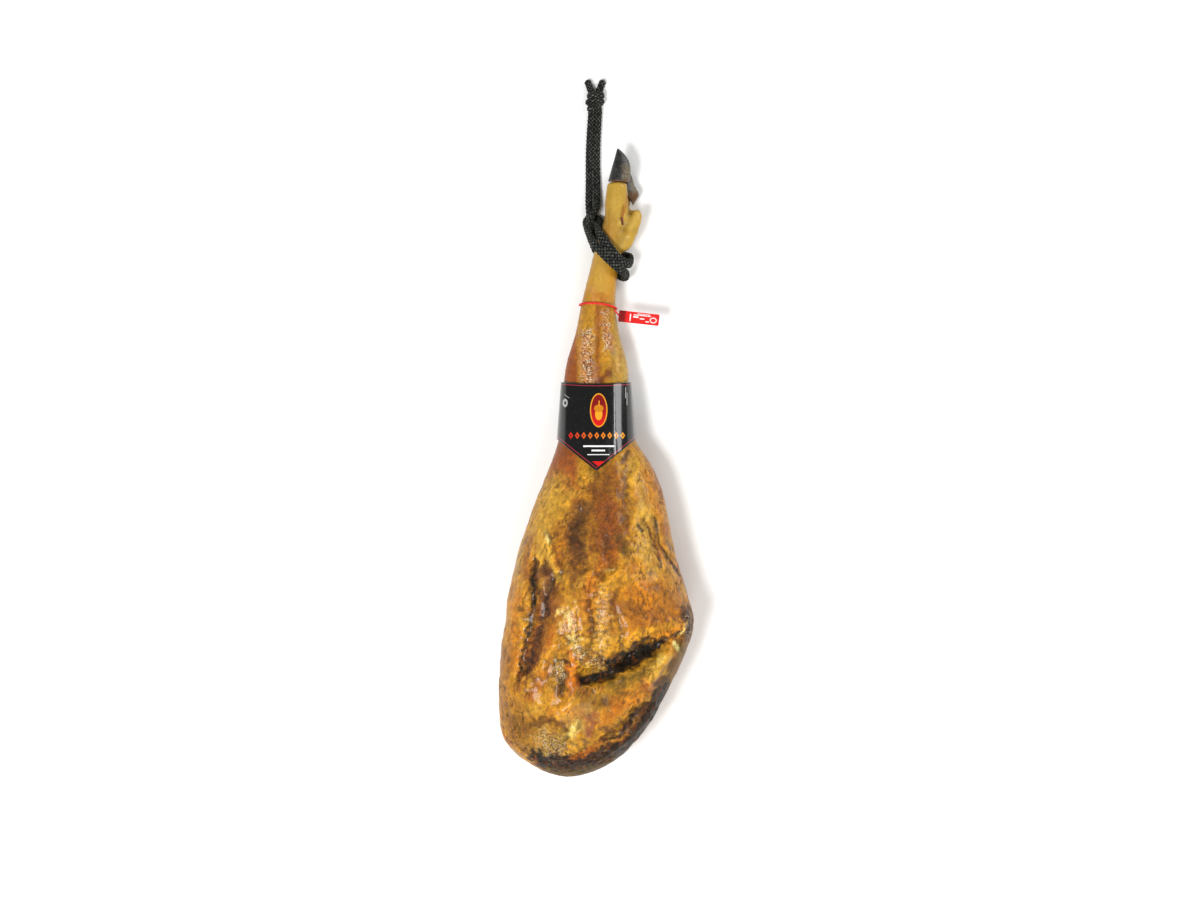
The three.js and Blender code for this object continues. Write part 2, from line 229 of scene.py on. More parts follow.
socketNames = {
    "rough": "Roughness", "coat": "Coat Weight", "coatRough": "Coat Roughness",
    "specular": "Specular IOR Level", "sheen": "Sheen Weight", "sheenRough": "Sheen Roughness",
    "subsurface": "Subsurface Weight", "subsurfaceScale": "Subsurface Scale",
}


def noise(where, scale, detail=3.0, rough=0.55, twist=0.0):
    made = addNode("TexNoise", {"Vector": where, "Scale": scale, "Detail": detail,
                                "Roughness": rough, "Distortion": twist})
    return made.outputs["Fac"]


def calc(how, first, second=0.0, clamp=False):
    made = addNode("Math", {0: first, 1: second}, operation=how, use_clamp=clamp)
    return made.outputs[0]


times, plus, minus, over = (partial(calc, how) for how in ("MULTIPLY", "ADD", "SUBTRACT", "DIVIDE"))


def fit(value, low, high, toLow=0.0, toHigh=1.0):
    made = addNode("MapRange", {"Value": value, "From Min": low, "From Max": high,
                                "To Min": toLow, "To Max": toHigh})
    return made.outputs["Result"]


def mix(share, first, second, how="MIX"):
    first, second = (paint(colour) if isinstance(colour, str) else colour for colour in (first, second))
    made = addNode("Mix", {0: share, 6: first, 7: second}, data_type="RGBA", blend_type=how)
    return made.outputs[2]


def attribute(tree, name, output="Fac"):
    made = tree.nodes.new("ShaderNodeAttribute")
    made.attribute_name = name
    return made.outputs[output]


def objectPlace(tree, scale=None):
    where = tree.nodes.new("ShaderNodeTexCoord").outputs["Object"]
    if scale:
        where = addNode("Mapping", {"Vector": where, "Scale": scale}).outputs["Vector"]
    return where


def link(shader, socket, value):
    shader.id_data.links.new(value, shader.inputs[socket])


def bump(shader, height, distance, strength=1.0):
    made = addNode("Bump", {"Height": height, "Distance": distance, "Strength": strength})
    link(shader, "Normal", made.outputs["Normal"])


def store(mesh, name, values):
    mesh.attributes.new(name, "FLOAT", "POINT").data.foreach_set("value", values)


def asPiece(name, mesh, material, slot, *nodes):
    piece = addObject(name, mesh)
    mesh.materials.clear()
    mesh.materials.append(material)
    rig.ride(piece, "root")
    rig.slot(piece, slot)
    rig.replaces(piece, *nodes)
    return piece


def rolled(around, along, place, ends=True, ring=False):  # a grid wrapped into a tube, or into a ring
    bm = bmesh.new()
    bm.loops.layers.uv.new("UVMap")
    bmesh.ops.create_grid(bm, x_segments=around, y_segments=along, size=0.5, calc_uvs=True)
    for vert in bm.verts:
        u, v = vert.co.x + 0.5, vert.co.y + 0.5
        u = 0.0 if u > nearlyOne else u
        v = 0.0 if ring and v > nearlyOne else v
        vert.co = place(u, v)
    bmesh.ops.remove_doubles(bm, verts=bm.verts, dist=sameSpot)
    if ends:
        rims = [edge for edge in bm.edges if edge.is_boundary]
        bmesh.ops.holes_fill(bm, edges=rims, sides=0)
    bmesh.ops.recalc_face_normals(bm, faces=bm.faces)
    return bm


def boxed(share, power):  # rounds a circle's sine or cosine towards a box
    return copysign(abs(share) ** power, share)


def toMesh(name, bm, smooth=True):
    mesh = bpy.data.meshes.new(name)
    for face in bm.faces:
        face.smooth = smooth
    bm.to_mesh(mesh)
    bm.free()
    return mesh


# the rope: sizes in mm, and its middle line as points in mm
rope = {"diameter": 8.8, "sides": 32, "ringGap": 0.85, "wide": 1.36, "thin": 0.84, "bump": 1,
        "cells": 6, "cellLength": 5.2, "plump": 0.6, "middling": 0.62, "endShare": 0.25, "endReach": 3.2}
shank = {"along": [380, 430, 460, 490, 510], "middle": [2, 9.5, 16, 24, 26], "high": 28.5}
pressed = {"low": 12, "rampUp": 10, "end": 484, "rampDown": 8}  # where the shank flattens the rope
ropeRoute = [
    (-5.6, 640, 4.7), (-8.6, 590, 5), (-9, 545, 5.1), (-9.2, 518, 9.8), (-8, 503, 16.2),
    (-6.6, 490, 11.4), (-5.8, 479, 6), (-2, 463, 5), (10, 446, 5), (24, 431, 5.8),
    (35, 424.5, 12), (39.4, 427.5, 24), (35.6, 430.5, 38.5), (26.5, 437, 49.6), (1.6, 461.5, 51.4),
    (-5.6, 470.5, 42), (-9.4, 480, 32), (-11.6, 489, 20), (-12.8, 497.5, 8.6), (-6.4, 503.8, 4.9),
    (2.5, 500.5, 5.6), (6.4, 493.5, 15.5), (4, 488, 27), (3.4, 482, 39.4), (8.8, 472.8, 49),
    (17, 460.4, 52.4), (29, 446.6, 50.2), (39.4, 441, 41.4), (44.2, 444, 28), (43.2, 451.5, 14.5),
    (33, 455.5, 5.6), (6.5, 471, 7.2), (-1.4, 479.5, 14.4), (-7.4, 489, 20.8), (-7.2, 499, 24.4),
    (-2.6, 508, 21), (0.8, 518, 11.2), (1, 545, 5.1), (0.9, 590, 5), (3.4, 640, 4.7),
]


def routeCurve(points, gap, steps=40):  # a smooth curve through the points, cut into even lengths
    p = [np.array(point, float) for point in points]
    p = [2 * p[0] - p[1]] + p + [2 * p[-1] - p[-2]]
    fine = []
    for a, b, c, d in zip(p, p[1:], p[2:], p[3:]):
        ta, tb, tc = (np.linalg.norm(n - m) ** 0.5 for m, n in ((a, b), (b, c), (c, d)))
        m1 = (c - b) + tb * ((b - a) / ta - (c - a) / (ta + tb))
        m2 = (c - b) + tb * ((d - c) / tc - (d - b) / (tb + tc))
        for t in np.linspace(0, 1, steps, endpoint=False):
            fine.append((2 * t**3 - 3 * t**2 + 1) * b + (t**3 - 2 * t**2 + t) * m1
                        + (3 * t**2 - 2 * t**3) * c + (t**3 - t**2) * m2)
    fine = np.array(fine + [p[-2]])
    run = np.concatenate([[0], np.cumsum(np.linalg.norm(np.diff(fine, axis=0), axis=1))])
    count = max(2, round(run[-1] / gap))
    even = np.linspace(0, run[-1], count + 1)
    return np.stack([np.interp(even, run, fine[:, k]) for k in range(3)], axis=1), run[-1]


def braid(u, v, cellsAlong):
    a = u * rope["cells"] + v * cellsAlong
    b = u * rope["cells"] - v * cellsAlong
    return abs(sin(pi * a) * sin(pi * b))


def ropeTube(name, route, flatten=None, endRound=False):
    centres, length = routeCurve(route, rope["ringGap"])
    rings = len(centres) - 1
    tangents = np.gradient(centres, axis=0)
    tangents /= np.linalg.norm(tangents, axis=1)[:, None]
    side = np.cross(tangents[0], (0, 0, 1.0))
    sides = []
    for t in tangents:  # carry the side along without twist
        side = side - t * side.dot(t)
        side = side / np.linalg.norm(side)
        sides.append(side)
    ups = np.cross(sides, tangents)
    cellsAlong = round(length / rope["cellLength"])

    def place(u, v):
        i = min(rings, round(v * rings))
        angle = 2 * pi * u
        strand = braid(u, v, cellsAlong) ** rope["plump"]
        radius = rope["diameter"] / 2 + rope["bump"] * (strand - rope["middling"])
        if endRound and v >= 0.5:
            radius *= min(1, (rope["endShare"] + (1 - v) * length / rope["endReach"])) ** 0.5
        offset = radius * (cos(angle) * sides[i] + sin(angle) * ups[i])
        if flatten:
            offset = flatten(centres[i], tangents[i], offset)
        point = Vector(centres[i] + offset)
        point.z = max(point.z, 0)
        return point * mm

    mesh = toMesh(name, rolled(rope["sides"], rings, place))
    return mesh, [tuple(c * mm) for c in centres], length * mm


def pressedOnShank(centre, tangent, offset):
    x = np.interp(centre[1], shank["along"], shank["middle"])
    out = np.array([centre[0] - x, 0, centre[2] - shank["high"]])
    out -= tangent * out.dot(tangent)
    far = np.linalg.norm(out)
    flat = np.clip((centre[2] - pressed["low"]) / pressed["rampUp"], 0, 1)
    flat *= np.clip((pressed["end"] - centre[1]) / pressed["rampDown"], 0, 1)
    if far < 1 or flat == 0:
        return offset
    out /= far
    across = np.cross(tangent, out)
    thin, wide = 1 + (rope["thin"] - 1) * flat, 1 + (rope["wide"] - 1) * flat
    return out * offset.dot(out) * thin + across * offset.dot(across) * wide


def braidMaterial():
    made, tree, shader = newMaterial("braidedCord", rough=0.7, sheen=0.04, sheenRough=0.5, specular=0.15)
    where = objectPlace(tree)
    high = attribute(tree, "braid")
    yarn = noise(where, 900, 2.0, 0.6)
    # painted highlight: pale specks only on the raised strands; painted shade: darker down in the valleys between them
    specks = fit(noise(where, 300, 3.0, 0.75), 0.42, 0.6, 0, 1)
    lit = times(specks, fit(high, 0.3, 0.8), True)
    base = mix(fit(high, 0.15, 0.8), "braidValleyShade", "cordBlack")
    link(shader, "Base Color", mix(times(lit, 0.75), base, "cordHighlight"))
    bump(shader, plus(yarn, high), 0.0006, 0.8)
    return made


def braidHeights(mesh, length):
    cellsAlong = round(length / mm / rope["cellLength"])
    uv = mesh.uv_layers["UVMap"].data
    high = np.zeros(len(mesh.vertices))
    for loop, at in zip(mesh.loops, uv):
        high[loop.vertex_index] = braid(*at.uv, cellsAlong)
    store(mesh, "braid", high)


cordBraid = braidMaterial()
ropeMesh, ropePath, ropeLength = ropeTube("rope_braid", ropeRoute, pressedOnShank)
braidHeights(ropeMesh, ropeLength)
ropePiece = asPiece("rope_braid", ropeMesh, cordBraid, "braided_cord", "rope")

# the knot of the two ends, in mm: a coil of turns and two short tails, given for the right one
knot = {"turns": 2.3, "start": 2.4, "steps": 28, "reach": 8.4, "high": 5.6, "length": 19, "lift": 8.6,
        "in": 3.5, "slant": 2.6, "wideEnds": 0.72, "highEnds": 0.6, "lowest": 0.2,
        "tail": [(4.5, -0.2, 4.7), (3.6, 9, 7.5), (3.9, 19, 7.2), (6.6, 29, 5.0), (10.5, 39.5, 4.5)]}


def knotRoutes():
    low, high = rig.box("rope_knot")
    middle, start = (low.x + high.x) / 2 / mm, low.y / mm
    wrap = []
    for i in range(knot["steps"] + 1):
        t = i / knot["steps"]
        angle = 2 * pi * knot["turns"] * t + knot["start"]
        wide, high = (knot[k] + (1 - knot[k]) * sin(pi * t) for k in ("wideEnds", "highEnds"))
        wrap.append((middle + knot["reach"] * cos(angle) * wide,
                     start + knot["in"] + knot["length"] * t + knot["slant"] * cos(angle),
                     knot["lift"] + knot["high"] * sin(angle) * high))
    tails = [[(middle + x * sign, start + y, z) for x, y, z in knot["tail"]] for sign in (-1, 1)]
    return wrap, tails


wrapRoute, tailRoutes = knotRoutes()
knotBm = bmesh.new()
for route in [wrapRoute] + tailRoutes:
    part, centres, length = ropeTube("part", route, endRound=True)
    braidHeights(part, length)
    knotBm.from_mesh(part)
    bpy.data.meshes.remove(part)
for vert in knotBm.verts:
    vert.co.z = max(vert.co.z, knot["lowest"] * mm)
knotMesh = toMesh("rope_knot_tied", knotBm)
knotPiece = asPiece("rope_knot_tied", knotMesh, cordBraid, "braided_cord", "rope_knot")
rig.cord(ropePiece, exit=ropePath[0], length=round(ropeLength, 3), diameter=rope["diameter"] * mm,
        far_end="knot", stiffness="limp", lay="loose", with_pieces=[knotPiece], path=ropePath)
print("rope", len(ropeMesh.polygons), "length", ropeLength)

# the ham: mesh sizes in mm, the slope where its upper side begins, and how far the foot moves in mm
ham = {"coarse": 2.4, "fine": 2.05, "topFrom": -0.1, "broad": 2.6, "tuck": 4.5}


noiseWays, noiseHash = 4096, (73856093, 19349663, 83492791)


def cloud(at, size, seed):  # smooth seeded noise, about -1 to 1
    ways = np.random.default_rng(seed).normal(size=(noiseWays, 3))
    ways /= np.linalg.norm(ways, axis=1)[:, None]
    p = at / size
    cell = np.floor(p).astype(np.int64)
    f = p - cell
    soft = f * f * f * (f * (6 * f - 15) + 10)
    total = np.zeros(len(at))
    for corner in itertools.product((0, 1), repeat=3):
        share = np.prod(np.where(corner, soft, 1 - soft), axis=1)
        c = (cell + corner) * noiseHash
        way = ways[(c[:, 0] ^ c[:, 1] ^ c[:, 2]) & (noiseWays - 1)]
        total += share * np.sum(way * (f - corner), axis=1)
    return 1.7 * total


def rugged(at, size, seed, octaves=3):
    return sum(cloud(at, size / 2**k, seed + k) * 0.55**k for k in range(octaves))


def alongPath(xy, path):  # distance from a path, the same with its side, and the share along it
    path = np.array(path, float).reshape(-1, 2)
    if len(path) == 1:
        d = np.linalg.norm(xy - path[0], axis=1)
        return d, d, np.full(len(xy), 0.5)
    best = np.full(len(xy), 1e9)
    signed, share = best.copy(), best.copy()
    lengths = np.linalg.norm(np.diff(path, axis=0), axis=1)
    start = np.concatenate([[0], np.cumsum(lengths)])
    for i, (a, b) in enumerate(zip(path, path[1:])):
        way = (b - a) / lengths[i]
        t = np.clip((xy - a) @ way, 0, lengths[i])
        gap = xy - a - t[:, None] * way
        d = np.linalg.norm(gap, axis=1)
        side = np.sign(way[0] * gap[:, 1] - way[1] * gap[:, 0])
        nearer = d < best
        best[nearer], signed[nearer] = d[nearer], (d * side)[nearer]
        share[nearer] = ((start[i] + t) / start[-1])[nearer]
    return best, signed, share


def nearPath(xy, path):
    return alongPath(xy, path)[0]


def reachAt(reach, share):
    return np.interp(share, np.linspace(0, 1, len(reach)), reach) if isinstance(reach, tuple) else reach


def ramp(low, high, value):
    t = np.clip((value - low) / (high - low), 0, 1)
    return t * t * (3 - 2 * t)


def readMesh(mesh):
    at = np.empty(len(mesh.vertices) * 3)
    mesh.vertices.foreach_get("co", at)
    way = np.empty(len(mesh.vertices) * 3)
    mesh.vertices.foreach_get("normal", way)
    return at.reshape(-1, 3) / mm, way.reshape(-1, 3)


def writeMesh(mesh, at):
    mesh.vertices.foreach_set("co", (at * mm).ravel())
    mesh.update()


def remeshed(mesh, voxel):
    piece = addObject("work", mesh)
    change = piece.modifiers.new("voxels", "REMESH")
    change.mode = "VOXEL"
    change.voxel_size = voxel * mm
    change.use_smooth_shade = True
    graph = bpy.context.evaluated_depsgraph_get()
    made = bpy.data.meshes.new_from_object(piece.evaluated_get(graph))
    bpy.data.objects.remove(piece)
    return made


def smoothed(mesh, rounds, share=0.5):
    bm = bmesh.new()
    bm.from_mesh(mesh)
    for _ in range(rounds):
        bmesh.ops.smooth_vert(bm, verts=bm.verts, factor=share, use_axis_x=True, use_axis_y=True,
                              use_axis_z=True)
    bm.to_mesh(mesh)
    bm.free()
    mesh.update()


# big shapes: path as x, y, x, y and so on, reach and rise in mm, where a negative rise sinks;
# a round one swells the under side too
shapes = [
    ((-76, 66, -78, 12, -82, -14, -89, -44, -95, -82), (4, 7, 7, 6, 4), -5.5),
    ((-49, 44, -61, 17, -66, -5, -72, -25, -77, -51, -85, -74), 9, -4),
    ((-62, 95, -55, 70, -47, 44), 6, 2.6), ((-64, 40, -60, 18), 12, 3),
    ((-58, -44, -74, -72, -92, -104), 17, 4), ((-103, 10, -108, -50, -110, -100), 20, 3),
    ((-22, 118, -27, 90, -18, 62), 18, -4), ((12, 92, 18, 60, 4, 44), 9, -3),
    ((-8, 46, 8, 36, 30, 52), 7, 3), ((-10, 12, -4, -14, -5, -34), 6, -4), ((8, 24, 10, -6, 8, -34), 14, 4),
    ((28, 30, 24, 0, 34, -20), 6, -2), ((-24, -44, -12, -60, 8, -62), 15, 7),
    ((-29, -56, -30, -100), 11, 5), ((-40, -62, -44, -100), 5, -4), ((-17, -84, 4, -80, 20, -76), 8, -8),
    ((40, -58, 66, -48, 90, -42), (10, 15, 9), -9), ((96, -30, 118, -24), 7, -5),
    ((92, -48, 66, -88), 10, 5), ((106, 2, 112, -8, 104, -22), 9, 4),
    ((20, -92, -20, -112, -50, -130), 12, 3), ((62, -118, 46, -133, 37, -146, 10, -160), (5, 7, 7, 4), -7),
    ((70, -124, 48, -152, 22, -172), 10, 4), ((-27, -147), 9, 3), ((-60, -165), 24, -2),
    ((61, 116, 74, 84, 80, 60), 4, -3), ((74, 115, 80, 84, 104, 48), 4, -3),
    ((46, 196, 36, 160, 40, 120), 9, -3), ((3, 384, 1, 330, 5, 292), 7, -3), ((-12, 356, -12, 292), 11, 2),
    ((13, 378, 14, 330), 8, 2), ((35, 512, 34, 488), (2, 4), -5),
    ((42, 478, 50, 492, 53, 504), 9, 2.6, "round"), ((24, 520, 18, 480), 5, 1),
]
# the lip of meat that hangs over the lower edge
lip = {"path": (-24, -67, 0, -64, 18, -60, 36, -48, 52, -34, 69, -30, 86, -32, 103, -25, 113, -14),
       "up": 8, "down": -11, "reachUp": 22, "reachDown": 17, "hang": 2.5, "edge": 2.5}


def upperSide(way):
    return ramp(ham["topFrom"], 0.3, way[:, 2])


def sculptBig(mesh):
    at, way = readMesh(mesh)
    top = upperSide(way)
    ragged = at[:, :2] + 4 * np.stack([rugged(at, 18, 5), rugged(at, 18, 9)], axis=1)
    rise, plump = np.zeros(len(at)), np.zeros(len(at))
    for path, reach, height, *kind in shapes:
        d, _, share = alongPath(ragged, path)
        lift = height * np.exp(-(d / reachAt(reach, share)) ** 2 * 1.6)
        if kind:
            plump += lift
        else:
            rise += lift
    d, side, share = alongPath(ragged, lip["path"])
    ends = ramp(0, 0.1, share) * ramp(1, 0.88, share)
    above = ramp(-lip["edge"], lip["edge"], side)
    rise += ends * (above * lip["up"] * np.exp(-(d / lip["reachUp"]) ** 2)
                    + (1 - above) * lip["down"] * np.exp(-(d / lip["reachDown"]) ** 2))
    at += way * (rise * top + plump)[:, None]
    x, y, z = at.T  # these follow at as it moves
    x -= ham["broad"] * ramp(490, 520, y) * ramp(560, 540, y) * ramp(30, 14, x)
    x -= ham["tuck"] * ramp(500, 512, y) * ramp(36, 46, x) * ramp(32, 24, z)
    hang = ends * top * lip["hang"] * np.exp(-((side - 3) / 5) ** 2)
    x += hang * 0.35
    y -= hang
    at[:, 2] = np.maximum(z, 0)
    writeMesh(mesh, at)


# fine relief: rise in mm, grain size in mm, seed and octaves
relief = {
    "swell": (0.9, 26, 21, 3), "pimple": (0.6, 7, 31, 2), "shank": (0.25, 6, 51, 2),
    "fold": (1.3, 7, 61, 2), "lip": (1.7, 5.5, 71, 2), "crumb": (1.3, 6, 81, 2),
}
foldPath = (6, 24, 6, -36)
crumbly = [((-30, -38, 8, -66), 20), ((-62, -192, -44, -202), 16), ((-26, -190, 14, -182), 13),
           ((116, -10, 120, -30), 13), ((58, -124, 36, -150), 10)]


def grained(at, name, stretch=1):
    height, size, seed, octaves = relief[name]
    return height * rugged(at * stretch, size, seed, octaves)


def sculptFine(mesh):
    at, way = readMesh(mesh)
    top = upperSide(way)
    body = ramp(230, 160, at[:, 1])
    rise = grained(at, "swell") * body
    rough = 0.3 + 0.7 * ramp(-0.1, 0.5, rugged(at, 50, 171, 2))
    rise += grained(at, "pimple") * (0.35 + 0.65 * top) * body * rough
    creases = np.abs(rugged(at * (1, 0.4, 1), 15, 41, 3))  # long wrinkles along the leg
    creases += 0.5 * ramp(0.25, -0.1, rugged(at, 40, 45, 2))
    rise -= 0.8 * ramp(0.14, 0, creases) * top * body
    rise += grained(at, "shank") * (1 - body)
    xy = at[:, :2]
    rise += grained(at, "fold", (0.35, 1, 1)) * np.exp(-(nearPath(xy, foldPath) / 17) ** 4) * top
    rise += grained(at, "lip") * np.exp(-(nearPath(xy, lip["path"]) / 8) ** 2) * top
    for path, reach in crumbly:
        rise += grained(at, "crumb") * np.exp(-(nearPath(xy, path) / reach) ** 2) * top
    at += way * rise[:, None]
    at[:, 2] = np.where(at[:, 2] < 0.35, 0, at[:, 2])  # the rest face stays flat
    writeMesh(mesh, at)
    return creases


def proudness(mesh, rounds):  # how far each point stands out of the smoothed surface, in mm
    at, way = readMesh(mesh)
    soft = mesh.copy()
    smoothed(soft, rounds)
    low, _ = readMesh(soft)
    bpy.data.meshes.remove(soft)
    return np.sum((at - low) * way, axis=1)
